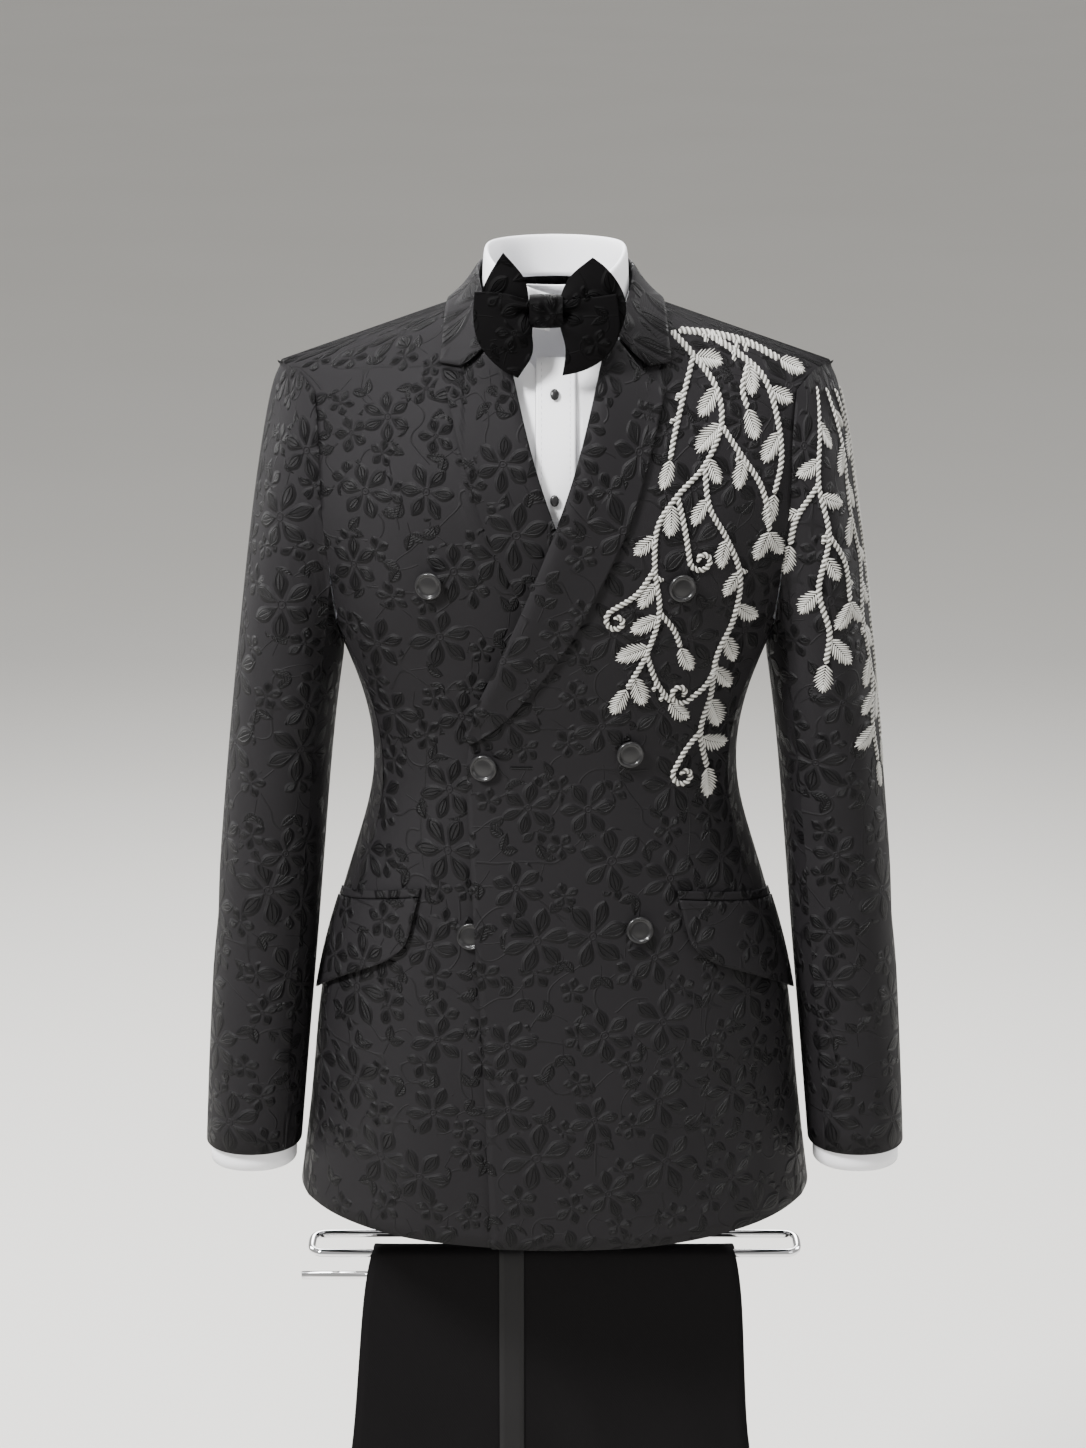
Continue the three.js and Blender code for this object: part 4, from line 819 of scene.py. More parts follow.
def dress(piece: bpy.types.Object, finish: Finish, slot: str, *nodes: str) -> bpy.types.Object:
    """Gives a piece its finish and its place in the set.

    Args:
        piece: The new piece.
        finish: Its finish.
        slot: The record's material slot; not used.
        nodes: The solids that it stands for.

    Returns:
        The piece.
    """
    if not piece.data.materials:
        piece.data.materials.append(finish.material())
    piece.data.shade_smooth()
    piece.data.set_sharp_from_angle(angle=SMOOTH_ANGLE)
    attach(piece, "root")
    if nodes:
        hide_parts(*nodes)
    log.info("%s: %d faces", piece.name, len(piece.data.polygons))
    return piece


@dataclass(frozen=True)
class Cut:
    """One cut piece of cloth: its solid, its flat width, length and area in metres, and how it is held."""

    node: str
    width: float
    length: float
    area: float
    held: str = "hung"

    def lay(self, piece: bpy.types.Object, finish: Finish, slot: str, *carriers: str) -> None:
        """Dresses the piece that stands for this cut.

        Args:
            piece: The piece.
            finish: Its finish.
            slot: The record's material slot.
            carriers: Names of the pieces that carry it; not used.
        """
        dress(piece, finish, slot, self.node)


def pair(name: str, *sizes: float) -> tuple[Cut, Cut]:
    """The left and the right one of two like cuts."""
    return Cut(f"{name}_left", *sizes), Cut(f"{name}_right", *sizes)


def line_inside(piece: bpy.types.Object, outward: Callable[[np.ndarray], np.ndarray]) -> None:
    """Gives the faces that look inwards the lining's finish.

    Args:
        piece: The piece.
        outward: Gives the way out of the figure at each point.
    """
    mesh = piece.data
    for finish in (Finish.JACQUARD, Finish.LINING):
        mesh.materials.append(finish.material())
    count = len(mesh.polygons)
    normals, centres = np.empty(count * 3, np.float32), np.empty(count * 3, np.float32)
    mesh.polygons.foreach_get("normal", normals)
    mesh.polygons.foreach_get("center", centres)
    facing = (normals.reshape(-1, 3) * outward(centres.reshape(-1, 3).astype(float))).sum(1)
    mesh.polygons.foreach_set("material_index", (facing < LINING_FACING).astype(np.int32))


class Canvas:
    """A dressed piece's outer face, read as flat paper in millimetres."""

    AWAY = 0.5
    NEAR = 0.4

    def __init__(self, *pieces: bpy.types.Object) -> None:
        """Takes the pieces that may be drawn on.

        Args:
            pieces: The pieces that may be drawn on.
        """
        points, faces = [], []
        for piece in pieces:
            start = len(points)
            points += [v.co.copy() for v in piece.data.vertices]
            faces += [[start + i for i in p.vertices] for p in piece.data.polygons]
        self.tree = BVHTree.FromPolygons(points, faces)

    def ray(self, across: float, up: float) -> tuple[Vector, Vector]:
        """Where the look at a point starts, and its direction."""
        return Vector((across * MM, -self.AWAY, up * MM)), Vector((0, 1, 0))

    def holds(self, across: float, up: float) -> bool:
        """Whether the point lies on the cloth."""
        return self.tree.ray_cast(*self.ray(across, up))[0] is not None

    def place(self, across: float, up: float) -> tuple[Vector, Vector]:
        """The point on the cloth and the way out of it.

        Args:
            across: The point's place across, in millimetres.
            up: Its height, in millimetres.

        Returns:
            The place and the direction.
        """
        start, way = self.ray(across, up)
        hit, normal, _, _ = self.tree.ray_cast(start, way)
        if hit is None:
            hit, normal, _, _ = self.tree.find_nearest(start + way * self.NEAR)
        return hit, normal if normal.dot(way) < 0 else -normal


class SleeveCanvas(Canvas):
    """The left sleeve's outer face: distance round from its front line, and height."""

    AWAY = 0.3
    RADIUS = 60.0

    def ray(self, across: float, up: float) -> tuple[Vector, Vector]:
        """Looks at the sleeve's middle line from outside.

        Args:
            across: Distance round from the sleeve's front line, in millimetres.
            up: Height, in millimetres.

        Returns:
            Where the look starts, and its direction.
        """
        cx, cy, _ = (float(v) for v in ARM.middle(up * MM))
        angle = across / self.RADIUS
        way = Vector((-math.sin(angle), math.cos(angle), 0))
        return Vector((cx, cy, up * MM)) - way * self.AWAY, way


@dataclass(frozen=True)
class Vine:
    """An embroidered stem: its points, and whether it ends in a leaf, a pair of them or a curl."""

    points: tuple
    width: float = 4.4
    leaves: bool = True
    end: str = "leaf"
    turn: int = 1
    skip: float = 14.0


def smooth_line(points: list | tuple, step: float) -> list[Point]:
    """A smooth line through points, with a point at about every step.

    Args:
        points: What it runs through.
        step: How far apart its own points are.

    Returns:
        The line's points.
    """
    p = [np.array(q, float) for q in points]
    p = [2 * p[0] - p[1], *p, 2 * p[-1] - p[-2]]
    line: list[Point] = []
    for a, b, c, d in zip(p, p[1:], p[2:], p[3:]):
        count = max(int(np.linalg.norm(c - b) / step), 2)
        for t in np.arange(count) / count:
            q = 2 * b + (c - a) * t + (2 * a - 5 * b + 4 * c - d) * t**2
            q = 0.5 * (q + (3 * b - a - 3 * c + d) * t**3)
            line.append((float(q[0]), float(q[1])))
    line.append((float(p[-2][0]), float(p[-2][1])))
    return line


def onwards(start: Point, way: float, distance: float) -> Point:
    """The point at a distance from start in direction way."""
    return start[0] + distance * math.cos(way), start[1] + distance * math.sin(way)


def heading(start: Point, end: Point) -> float:
    """The direction from start to end."""
    return math.atan2(end[1] - start[1], end[0] - start[0])


def curl(start: Point, way: float, turn: int, size: float) -> list[Point]:
    """Points of a spiral that leaves start in direction way and winds in on itself.

    Args:
        start: Where it begins.
        way: Its first direction.
        turn: 1 to wind to the left, -1 to the right.
        size: How wide it is.

    Returns:
        The spiral's points.
    """
    points = [start]
    for i in range(15):
        points.append(onwards(points[-1], way + turn * 0.47 * i, size * 0.42 * 0.915**i))
    return points


class Needlework:
    """Raised thread on a canvas, gathered into one mesh."""

    def __init__(self, canvas: Canvas) -> None:
        """Starts an empty piece of work on that canvas.

        Args:
            canvas: The cloth that it lies on.
        """
        self.canvas = canvas
        self.bm = bmesh.new()
        self.uv = self.bm.loops.layers.uv.new("cloth")

    def patch(self, along: int, across: int, draw: Callable[[float, float], tuple]) -> None:
        """Lays one grid of thread.

        Args:
            along: How many faces it has along its length.
            across: How many faces it has across.
            draw: Gives, for a place from 0 to 1 along and -1 to 1 across, the point on the
                canvas, the height above it and the map, all in millimetres.
        """
        made = bmesh.ops.create_grid(self.bm, x_segments=along, y_segments=across, size=1.0)["verts"]
        faces = {face for vert in made for face in vert.link_faces}
        drawn = {vert: draw((vert.co.x + 1) / 2, vert.co.y) for vert in made}
        for face in faces:
            for loop in face.loops:
                u, v = drawn[loop.vert][2]
                loop[self.uv].uv = (u * MM, v * MM)
        outward = Vector()
        for vert, (spot, height, _) in drawn.items():
            hit, normal = self.canvas.place(*spot)
            vert.co = hit + normal * (height * MM)
            outward += normal
        for face in faces:
            face.normal_update()
        if sum((face.calc_area() * face.normal for face in faces), Vector()).dot(outward) < 0:
            bmesh.ops.reverse_faces(self.bm, faces=list(faces))

    def stem(
        self, line: list[Point], width: float, height: float, twist: float = 4.2, slit: bool = False
    ) -> None:
        """A rope of thread along a line.

        Args:
            line: The line's points.
            width: How wide the rope lies.
            height: How high it stands.
            twist: The length of one turn of its strands.
            slit: Opens its middle, as in a buttonhole.
        """
        p = np.array(line)
        run = np.concatenate([[0], np.cumsum(np.linalg.norm(np.diff(p, axis=0), axis=1))])
        slope = unit(np.gradient(p, run, axis=0))

        def draw(t: float, side: float) -> tuple:
            """One point of the rope.

            Args:
                t: Place along, from 0 to 1.
                side: Place across, from -1 to 1.

            Returns:
                The point on the canvas, the height above it and the map.
            """
            at = t * run[-1]
            spot = np.array([np.interp(at, run, p[:, 0]), np.interp(at, run, p[:, 1])])
            way = np.array([np.interp(at, run, slope[:, 0]), np.interp(at, run, slope[:, 1])])
            tip = min(1.0, (min(at, run[-1] - at) / (width * 0.5) + 0.02)) ** 0.5
            strand = math.cos(2 * math.pi * (at / twist + side * 0.42))
            half = width / 2 * tip * (1 + 0.17 * strand)
            dome = max(1 - side**2, 0) ** 0.5 * (1 + 0.30 * strand) * height * tip
            if slit and abs(side) < 0.3:
                dome = 0.1
            spot = spot + np.array([-way[1], way[0]]) * side * half
            return tuple(spot), dome - 0.25, (at * 4.2 / twist, side)

        self.patch(max(int(run[-1] / twist * 5), 4), 6, draw)

    def strand(self, start: Point, way: float, length: float, width: float, height: float) -> None:
        """One tapered satin stitch.

        Args:
            start: Where it begins.
            way: Its direction.
            length: How long it is.
            width: How wide it is.
            height: How high it stands.
        """
        cosine, sine = math.cos(way), math.sin(way)

        def draw(t: float, side: float) -> tuple:
            """One point of the stitch.

            Args:
                t: Place along, from 0 to 1.
                side: Place across, from -1 to 1.

            Returns:
                The point on the canvas, the height above it and the map.
            """
            swell = math.sin(math.pi * min(0.12 + 0.88 * t, 1.0) ** 0.8) ** 0.6
            half = width / 2 * max(swell, 0.06)
            across = start[0] + length * t * cosine - sine * side * half
            up = start[1] + length * t * sine + cosine * side * half
            return (across, up), height * swell * max(1 - side**2, 0) ** 0.5 - 0.2, (0.0, side)

        self.patch(5, 4, draw)

    def leaf(self, start: Point, way: float, length: float, width: float, bend: float) -> None:
        """A leaf of satin stitches that slant outwards from its middle line, with a stepped edge.

        Args:
            start: Where it begins.
            way: Its direction.
            length: How long it is.
            width: How wide it is.
            bend: How far it turns on its way.
        """
        count = max(round(length / 2.7), 6)
        for i in range(count):
            t = (i + 0.35) / count
            foot = onwards(start, way + bend * t / 2, length * 0.86 * t)
            swell = math.sin(math.pi * (0.07 + 0.86 * t) ** 0.72)
            reach = (width * 0.64 * swell + length * 0.09) * (1 + 0.10 * math.cos(i * 2.4))
            for hand in (-1, 1):
                self.strand(foot, way + bend * t + hand * (0.86 - 0.36 * t), reach, 1.9, 1.7)
        tip = onwards(start, way + bend / 2, length * 0.72)
        self.strand(tip, way + bend, length * 0.32, 2.2, 1.7)

    def piece(self, name: str) -> bpy.types.Object:
        """The finished work as an object."""
        return gathered(name, self.bm)


@dataclass
class Embroidery:
    """Trailing leaves over the left shoulder, breast and sleeve, in a layout of its own."""

    seed: int = 11
    gap: float = 14.0
    stem_gap: float = 6.6
    leaf_gap: float = 27.0
    spur_chance: float = 0.10
    breast: tuple = (
        Vine(((94, -24), (112, -42), (130, -66), (134, -94), (120, -124), (98, -146), (82, -170), (80, -204),
              (84, -240), (74, -276), (58, -306)), skip=20),
        Vine(((134, -94), (150, -118), (166, -142), (173, -166), (174, -182)), end="pair"),
        Vine(((120, -124), (124, -156), (138, -182), (150, -214), (146, -250), (132, -284), (128, -318),
              (120, -350), (126, -384))),
        Vine(((98, -146), (104, -172), (108, -196)), end="curl", turn=1, leaves=False),
        Vine(((80, -204), (66, -224), (48, -236)), end="curl", turn=1, leaves=False),
        Vine(((84, -240), (96, -256), (102, -272)), leaves=False),
        Vine(((74, -276), (82, -300), (94, -320))),
        Vine(((133, -290), (124, -308), (112, -318)), end="curl", turn=-1, leaves=False),
        Vine(((120, -350), (108, -364), (100, -378)), end="curl", turn=1, leaves=False),
        Vine(((124, -28), (150, -44), (170, -62), (180, -90), (184, -124), (178, -152)), skip=18),
        Vine(((100, -24), (130, -29), (158, -37), (184, -50)), skip=16),
        Vine(((112, -42), (104, -68), (96, -98), (92, -118)), skip=20),
        Vine(((158, -50), (152, -68), (156, -84)), leaves=False),
    )
    sleeve: tuple = (
        Vine(((16, -72), (8, -106), (2, -146), (8, -188), (-2, -232), (4, -268), (0, -296)), skip=24),
        Vine(((2, -146), (-16, -172), (-22, -196)), skip=22),
        Vine(((42, -74), (46, -118), (38, -166), (48, -214), (40, -262), (50, -310), (44, -352), (50, -388))),
        Vine(((8, -188), (22, -214), (24, -246)), end="pair", skip=20),
        Vine(((70, -76), (76, -122), (68, -172), (80, -222), (72, -272), (78, -316))),
        Vine(((100, -76), (94, -124), (104, -178), (96, -232)), end="pair"),
        Vine(((50, -310), (66, -338), (68, -372))),
    )

    def free(self, spots: list[Point], stems: list[Point], taken: list[Point]) -> bool:
        """Whether a leaf through spots clears all stems and leaves.

        Args:
            spots: Places along the leaf.
            stems: The stems' points.
            taken: Places along the other leaves.

        Returns:
            True if it does.
        """
        if any(math.dist(spot, stem) < self.stem_gap for spot in spots[1:] for stem in stems):
            return False
        return all(math.dist(spot, other) > self.gap for spot in spots for other in taken)

    def sew(
        self, name: str, vines: tuple, canvas: Canvas, bars: list[Canvas], keep_off: tuple
    ) -> bpy.types.Object:
        """Sews one field of vines.

        Args:
            name: The piece's name.
            vines: Its stems.
            canvas: The cloth that it lies on.
            bars: Cloth over it that a leaf may not reach under.
            keep_off: Round places left free, as middle and radius.

        Returns:
            The piece.
        """
        work = Needlework(canvas)
        chance = random.Random(self.seed)
        lines = [smooth_line(vine.points, 2.0) for vine in vines]
        for vine, line in zip(vines, lines):
            if vine.end == "curl":
                line += smooth_line(curl(line[-1], heading(line[-3], line[-1]), vine.turn, 12.0), 2.0)[1:]
        stems = [p for line in lines for p in line]
        taken: list[Point] = []

        def try_leaf(base: Point, way: float, length: float, own: bool) -> bool:
            """Sews a leaf where it finds room; one that ends its own stem needn't clear the others.

            Args:
                base: Where it begins.
                way: Its direction.
                length: How long it is.
                own: Whether it ends its own stem.

            Returns:
                Whether it was sewn.
            """
            bend = chance.uniform(-0.35, 0.35)
            spots = [onwards(base, way + bend * share / 2, length * share) for share in (0.3, 0.6, 0.85, 1.0)]
            held = all(canvas.holds(*spot) and not any(bar.holds(*spot) for bar in bars) for spot in spots)
            clear = all(math.dist(spot, place) > radius for spot in spots for place, radius in keep_off)
            if not (held and clear and (own or self.free(spots, stems, taken))):
                return False
            taken.extend(spots)
            work.leaf(base, way, length, length * chance.uniform(0.50, 0.58), bend)
            return True

        for vine, line in zip(vines, lines):
            for spread in {"leaf": (0.0,), "pair": (-0.5, 0.5)}.get(vine.end, ()):
                try_leaf(line[-1], heading(line[-4], line[-1]) + spread, chance.uniform(23, 27), True)
        for vine, line in zip(vines, lines):
            work.stem(line, vine.width, 1.9)
            side, since = chance.choice((-1, 1)), vine.skip
            for i in range(3, len(line) - 5):
                since -= math.dist(line[i], line[i - 1])
                if since > 0 or not vine.leaves:
                    continue
                way = heading(line[i - 2], line[i + 2])
                for hand in (side, -side):
                    length = chance.uniform(22, 29)
                    if try_leaf(line[i], way + hand * chance.uniform(0.70, 1.0), length, False):
                        side, since = -hand, self.leaf_gap
                        break
                else:
                    if chance.random() < self.spur_chance:
                        end = onwards(line[i], way + side * 0.9, 8)
                        middle = ((line[i][0] + end[0]) / 2, (line[i][1] + end[1]) / 2)
                        work.stem([line[i], middle, end], 3.6, 1.6)
        return dress(work.piece(name), Finish.SILK, "jacquard")


@dataclass
class Jacket:
    """The jacket's body, sleeves, collar, lapels, pockets and buttons."""

    panels: tuple = (
        Cut("jacket_front_left", 0.300, 0.845, 0.193),
        Cut("jacket_front_right", 0.300, 0.845, 0.191),
        *pair("jacket_side", 0.109, 0.520, 0.053),
        *pair("jacket_back", 0.236, 0.850, 0.166),
    )
    sleeves: tuple = (*pair("sleeve_top", 0.215, 0.700, 0.123), *pair("sleeve_under", 0.156, 0.605, 0.067))
    trims: tuple = (
        Cut("lapel_left", 0.085, 0.370, 0.0184, "folded"),
        Cut("lapel_right", 0.085, 0.370, 0.0179, "folded"),
        Cut("pocket_flap_left", 0.125, 0.076, 0.0086),
        Cut("pocket_flap_right", 0.113, 0.078, 0.0078),
        Cut("pocket_jet_left", 0.125, 0.010, 0.0011),
        Cut("pocket_jet_right", 0.113, 0.010, 0.0010),
    )
    collar: Cut = Cut("collar", 0.430, 0.085, 0.025, "folded")
    panel_growth: float = 0.12
    sleeve_growth: float = 0.85
    shoulder_tip: float = 225.5
    button_profile: tuple = (
        (0.0, 2.7), (2.6, 2.62), (5.0, 2.3), (6.9, 1.95), (8.0, 2.0), (8.7, 2.7), (9.4, 3.6),
        (10.1, 3.9), (10.8, 3.6), (11.35, 2.8), (11.5, 1.8), (11.2, 0.8), (10.3, 0.1), (0.0, 0.0),
    )
    buttonholes: tuple = ((-38, -374.5), (-38, -517))
    dart: tuple = ((106, -352), (108, -392), (112, -430), (110, -467))
    pieces: dict = field(default_factory=dict)

    def keep(self, cut: Cut, piece: bpy.types.Object, carrier: str) -> None:
        """Finishes a cloth piece and keeps it for what is sewn on it."""
        cut.lay(piece, Finish.JACQUARD, "jacquard", carrier)
        self.pieces[cut.node] = piece

    def body(self) -> None:
        """Fronts, sides and backs, lined inside, with shoulder tips that stop short of the sleeves."""
        for cut in self.panels:
            piece = smooth_copy(cut.node, grow=self.panel_growth)
            co = read_points(piece.data)
            write_map(piece.data, TORSO.grain(co, "back" in cut.node))
            beyond = np.maximum(np.abs(co[:, 0]) - self.shoulder_tip * MM, 0) * (co[:, 2] > -0.11)
            co[:, 0] -= np.sign(co[:, 0]) * beyond * 0.7
            write_points(piece.data, TORSO.drape(co))
            line_inside(piece, TORSO.outward)
            self.keep(cut, piece, "shirt_back_made")

    def arms(self) -> None:
        """Top and under sleeves, lined inside."""
        for cut in self.sleeves:
            piece = smooth_copy(cut.node, grow=self.sleeve_growth)
            co = read_points(piece.data)
            write_map(piece.data, ARM.grain(co, "under" in cut.node))
            write_points(piece.data, ARM.drape(co))
            line_inside(piece, ARM.outward)
            self.keep(cut, piece, "jacket_front_left_made")

    def trimmings(self) -> None:
        """Lapels and pocket pieces, each with its cloth turned, and the folded collar."""
        for cut in self.trims:
            piece = smooth_copy(cut.node)
            co = read_points(piece.data)
            across, up = TORSO.grain(co).T
            tilt = 0.42 if "lapel" in cut.node else 0.06
            cosine, sine, shift = math.cos(tilt), math.sin(tilt), len(cut.node) * 0.37
            flat = np.stack([across * cosine - up * sine + 5.3, across * sine + up * cosine + shift], 1)
            write_map(piece.data, flat)
            write_points(piece.data, TORSO.drape(co))
            self.keep(cut, piece, f"jacket_front_{cut.node.split('_')[-1]}_made")
        piece = smooth_copy(self.collar.node)
        co = read_points(piece.data)
        around = np.arctan2(co[:, 0], co[:, 1] + 0.02)
        up = co[:, 2] + np.hypot(co[:, 0], co[:, 1]) * 0.4
        write_map(piece.data, np.stack([around * 0.085 + 7.7, up], 1))
        self.keep(self.collar, piece, "jacket_back_left_made")

    def button(self, node: str) -> None:
        """One turned button with a raised rim and a plain domed middle, where its solid is.

        Args:
            node: The solid's name.
        """
        co = read_points(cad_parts[node].data)
        middle = co.mean(0)
        _, _, axes = np.linalg.svd(co - middle)
        out = Vector(axes[2]) * (1 if axes[2][1] < 0 else -1)
        foot = Vector(middle) + out * float(((co - middle) @ np.array(out)).min())
        bm = bmesh.new()
        verts = [bm.verts.new((r * MM, 0, h * MM)) for r, h in self.button_profile]
        edges = [bm.edges.new(ends) for ends in zip(verts, verts[1:])]
        circle = {"cent": (0, 0, 0), "axis": (0, 0, 1), "angle": 2 * math.pi, "steps": 48}
        bmesh.ops.spin(bm, geom=verts + edges, use_merge=True, **circle)
        bmesh.ops.remove_doubles(bm, verts=bm.verts, dist=1e-6)
        bmesh.ops.recalc_face_normals(bm, faces=bm.faces)
        turn = Vector((0, 0, 1)).rotation_difference(out).to_matrix().to_4x4()
        bmesh.ops.transform(bm, matrix=turn, verts=bm.verts)
        bmesh.ops.translate(bm, vec=foot, verts=bm.verts)
        dress(gathered(node + "_made", bm), Finish.HORN, "button", node)

    def stitching(self) -> None:
        """Worked buttonholes and both fronts' dart seams."""
        for side, name, hand in (("left", "buttonholes", 1), ("right", "dart_right", -1)):
            work = Needlework(Canvas(self.pieces[f"jacket_front_{side}"]))
            for x, z in self.buttonholes if side == "left" else ():
                work.stem(smooth_line(((x, z), (x + 9, z), (x + 20, z)), 1.0), 3.4, 0.75, 1.0, True)
            work.stem(smooth_line([(hand * x, z) for x, z in self.dart], 2.0), 0.9, 0.42, 2.4)
            dress(work.piece(name), Finish.BLACK_THREAD, "jacquard")

    def make(self) -> None:
        """Builds the whole jacket."""
        self.body()
        self.arms()
        self.trimmings()
        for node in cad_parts:
            if node.startswith("button_"):
                self.button(node)
        self.stitching()
        vines = Embroidery()
        over = [Canvas(self.pieces["lapel_left"], self.pieces["collar"])]
        upper_button = ((102, -220), 15.0)
        front = Canvas(self.pieces["jacket_front_left"])
        vines.sew("embroidery_breast", vines.breast, front, over, (upper_button,))
        vines.sew("embroidery_sleeve", vines.sleeve, SleeveCanvas(self.pieces["sleeve_top_left"]), [], ())


@dataclass
class Shirt:
    """The dress shirt: body, placket, studs, collar, sleeves and cuffs."""

    cuts: tuple = (
        *pair("shirt_front", 0.236, 0.690, 0.1214),
        Cut("shirt_back", 0.510, 0.660, 0.2729),
        Cut("shirt_placket", 0.034, 0.620, 0.0205),
        Cut("shirt_collar", 0.420, 0.075, 0.0254, "folded"),
        *pair("shirt_sleeve", 0.400, 0.600, 0.1547),
        *pair("shirt_cuff", 0.248, 0.062, 0.0153),
    )
    creases: Creases = Creases((
        (22, -150, 30, -40, 9, -1.0), (-24, -180, -34, -60, 9, -1.0),
        (20, -300, 60, -170, 14, -1.6), (-20, -320, -60, -190, 14, -1.6),
    ))
    stitches: int = 46
    stitch_pitch: float = 4.6

    def make(self) -> None:
        """Builds the shirt."""
        made = {}
        for cut in self.cuts:
            piece = smooth_copy(cut.node)
            if "front" in cut.node:
                co = read_points(piece.data)
                write_points(piece.data, co + TORSO.outward(co) * self.creases.lift(co)[:, None])
            carriers = () if cut.node == "shirt_back" else ("shirt_back_made",)
            cut.lay(piece, Finish.POPLIN, "shirt", *carriers)
            made[cut.node] = piece
        work = Needlework(Canvas(made["shirt_placket"]))
        for x in (-11.5, 11.5):
            for i in range(self.stitches):
                up = -42.0 - i * self.stitch_pitch
                work.stem([(x, up), (x, up - 1.5), (x, up - 3.2)], 0.62, 0.5, 3.0)
        dress(work.piece("placket_stitches"), Finish.WHITE_THREAD, "shirt")
        for node in ("stud_upper", "stud_lower"):
            dress(smooth_copy(node, hard=True), Finish.HORN, "button", node)


@dataclass
class BowTie:
    """The bow tie: four leaves, the knot round them and the neck band."""

    leaves: tuple = (
        Cut("bow_front_right", 0.047, 0.070, 0.0026, "folded"),
        Cut("bow_back_right", 0.042, 0.058, 0.0018, "folded"),
        Cut("bow_front_left", 0.047, 0.066, 0.0025, "folded"),
        Cut("bow_back_left", 0.050, 0.075, 0.0028, "folded"),
    )
    band: Cut = Cut("bow_band", 0.396, 0.0145, 0.0055, "folded")
    middle: Point = (-7.9, 1.0)
    half: float = 13.3

    def from_middle(self, co: np.ndarray) -> tuple[np.ndarray, np.ndarray]:
        """Distance across and up from the knot's middle, in millimetres."""
        return (co[:, 0] - self.middle[0] * MM) / MM, (co[:, 2] - self.middle[1] * MM) / MM

    def lay(self, cut: Cut, piece: bpy.types.Object, co: np.ndarray) -> None:
        """Gives a piece of the tie its map and its finish."""
        write_map(piece.data, np.stack([co[:, 0] * 1.05 + len(cut.node) * 0.11, co[:, 2] * 1.05 + 0.4], 1))
        cut.lay(piece, Finish.BOW, "bow", "shirt_collar_made")

    def leaf(self, cut: Cut) -> None:
        """One leaf, with folds that fan out from the knot and an end that reaches under it.

        Args:
            cut: The leaf's cut.
        """
        piece = smooth_copy(cut.node, 3)
        refit(piece, cut.node)
        co = read_points(piece.data)
        across, up = self.from_middle(co)
        ahead = np.abs(across) - self.half
        fan = np.arctan2(up, ahead + 9.0)
        fade = np.exp(-(((np.hypot(ahead, up) - 4) / 19.0) ** 2))
        co[:, 1] += (np.cos(fan * 5.2 + 0.4) * 1.9 + np.cos(fan * 11.0) * 0.6) * fade * MM
        co[:, 0] -= np.sign(across) * 2.6 * np.exp(-((ahead / 6.0) ** 2)) * MM
        write_points(piece.data, co)
        self.lay(cut, piece, co)

    def knot(self) -> None:
        """The knot, with a pleat down its front."""
        knot = smooth_copy("bow_knot", 3)
        refit(knot, "bow_knot")
        co = read_points(knot.data)
        x, z = self.from_middle(co)
        front = np.clip((co[:, 1].mean() - co[:, 1]) / 0.006, 0, 1)
        ridges = np.exp(-(((np.abs(x) - 6.0) / 3.0) ** 2)) * 0.7 - np.exp(-((x / 3.0) ** 2)) * 0.9
        co[:, 1] -= ridges * front * MM
        write_points(knot.data, co)
        write_map(knot.data, np.stack([co[:, 0] + 2.6, z * MM], 1))
        dress(knot, Finish.BOW, "bow", "bow_knot")

    def make(self) -> None:
        """Builds the bow tie."""
        for cut in self.leaves:
            self.leaf(cut)
        band = smooth_copy(self.band.node)
        self.lay(self.band, band, read_points(band.data))
        self.knot()


@dataclass
class Trousers:
    """The trousers, folded leg on leg and hung over the bar."""

    cuts: tuple = (
        Cut("trousers_front_panel", 0.205, 1.075, 0.1452, "folded"),
        Cut("trousers_back_panel", 0.270, 1.075, 0.2123, "folded"),
        Cut("trousers_stripe", 0.024, 1.075, 0.0246, "folded"),
        Cut("trousers_waistband", 0.410, 0.0425, 0.0173, "folded"),
        Cut("trousers_inner_layers", 0.440, 1.080, 0.3553, "folded"),
    )
    wall: float = 3.6
    creases: Creases = Creases((
        (-58, -1010, -96, -1160, 22, 3.0), (-66, -1120, -116, -1280, 24, -3.4),
        (-40, -1180, -92, -1330, 20, 2.6), (-10, -980, 34, -1150, 22, -3.2),
        (14, -960, 66, -1120, 22, 2.8), (40, -1080, 84, -1260, 24, -2.8),
        (120, -960, 140, -1200, 30, 2.6), (-160, -940, -150, -1180, 28, 2.2),
        (180, -1000, 172, -1300, 26, -2.4),
    ))
    hang_top: float = -0.905
    hang_blend: float = 0.07

    def make(self) -> None:
        """Builds the trousers; every layer takes the same creases, so that none cuts another."""
        for cut in self.cuts:
            piece = smooth_copy(cut.node, hard="waistband" in cut.node, wall=self.wall)
            co = read_points(piece.data)
            low = np.clip((self.hang_top - co[:, 2]) / self.hang_blend, 0, 1)
            co[:, 1] -= self.creases.lift(co) * low * low * (3 - 2 * low)
            write_points(piece.data, co)
            write_map(piece.data, co[:, [0, 2]])
            look = (Finish.SATIN, "satin") if "stripe" in cut.node else (Finish.WOOL, "trousers")
            cut.lay(piece, *look, "bar_loop_made")


@dataclass
class Bar:
    """The chrome trouser bar."""

    nodes: tuple = ("bar_loop", "bar_rod")

    def make(self) -> None:
        """Rounds the rods and chromes them and their bracket."""
        for node in self.nodes:
            dress(smooth_copy(node, hard=True), Finish.CHROME, "chrome", node)
        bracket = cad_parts["bar_bracket"]
        bracket.data.materials.clear()
        bracket.data.materials.append(Finish.CHROME.material())


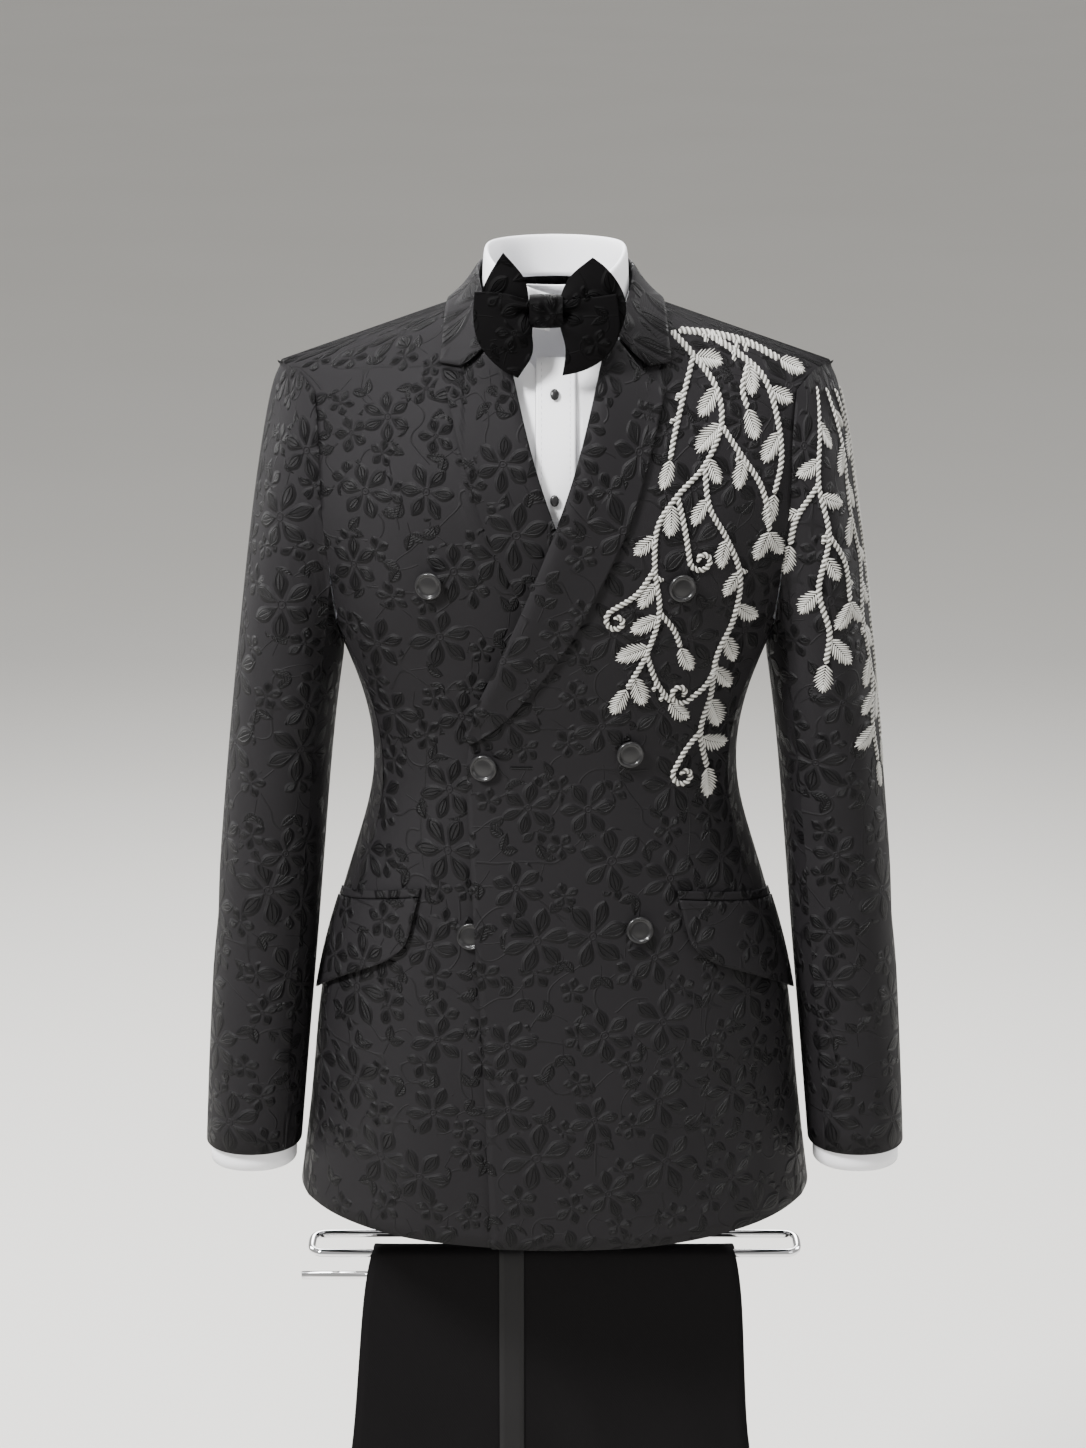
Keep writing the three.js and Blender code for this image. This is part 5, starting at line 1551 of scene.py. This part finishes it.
@dataclass
class Studio:
    """Camera, pale floor and soft lights, as in a plain studio."""

    eye: tuple = (-0.0103, -2.900, 0.492)
    pitch: float = 16.5
    lens: float = 88.5
    floor_height: float = -1.56
    lamps: tuple = (
        ("key", (-1.8, -1.5, 1.9), 0.7, 245.0),
        ("fill", (2.3, -2.0, 0.6), 1.8, 20.0),
        ("top", (0.2, -0.3, 2.2), 1.2, 70.0),
        ("rim_left", (-2.2, 1.5, 0.6), 1.2, 70.0),
        ("rim_right", (2.2, 1.5, 0.6), 1.2, 50.0),
        ("back", (0.0, 2.8, 1.2), 1.6, 90.0),
    )
    aim: tuple = (0, 0, -0.55)
    sky: Colour = (0.95, 0.94, 0.92, 1)
    sky_strength: float = 0.50

    def camera(self) -> None:
        """Sets the camera at the viewing angle of the picture."""
        data = bpy.data.cameras.new("camera")
        data.lens, data.sensor_width = self.lens, 36.0
        made = linked("camera", data)
        made.location = self.eye
        made.rotation_euler = (math.radians(90 - self.pitch), 0, 0)
        bpy.context.scene.camera = made

    def light(self) -> None:
        """Hangs the lamps and lights the room evenly."""
        for name, place, size, power in self.lamps:
            data = bpy.data.lights.new(name, "AREA")
            data.size, data.energy = size, power
            made = linked(name, data)
            made.location = place
            made.rotation_euler = (Vector(self.aim) - Vector(place)).to_track_quat("-Z", "Y").to_euler()
        world = bpy.data.worlds.new("room")
        world.use_nodes = True
        inputs = world.node_tree.nodes["Background"].inputs
        inputs[0].default_value, inputs[1].default_value = self.sky, self.sky_strength
        bpy.context.scene.world = world

    def floor(self) -> None:
        """Lays the pale floor."""
        bm = bmesh.new()
        bmesh.ops.create_grid(bm, x_segments=2, y_segments=2, size=30.0)
        bmesh.ops.translate(bm, vec=(0, 0, self.floor_height), verts=bm.verts)
        g = Graph("pale floor")
        cloud = g.noise(g.place(), 1.2, 3.0)
        tone = g.blend(cloud, (0.74, 0.725, 0.69, 1), (0.78, 0.765, 0.735, 1))
        floor = gathered("floor", bm)
        floor.data.materials.append(g.finish(cloud, 0.0002, {"Base Color": tone, "Roughness": 0.8}))

    def make(self) -> None:
        """Sets up the studio."""
        self.camera()
        self.light()
        self.floor()


def main() -> None:
    """Builds the set piece by piece."""
    logging.basicConfig(level=logging.INFO, format="%(name)s %(message)s")
    Studio().make()
    for part in (Shirt(), Jacket(), BowTie(), Trousers(), Bar()):
        log.info("making the %s", type(part).__name__)
        part.make()


if __name__ == "__main__":
    main()
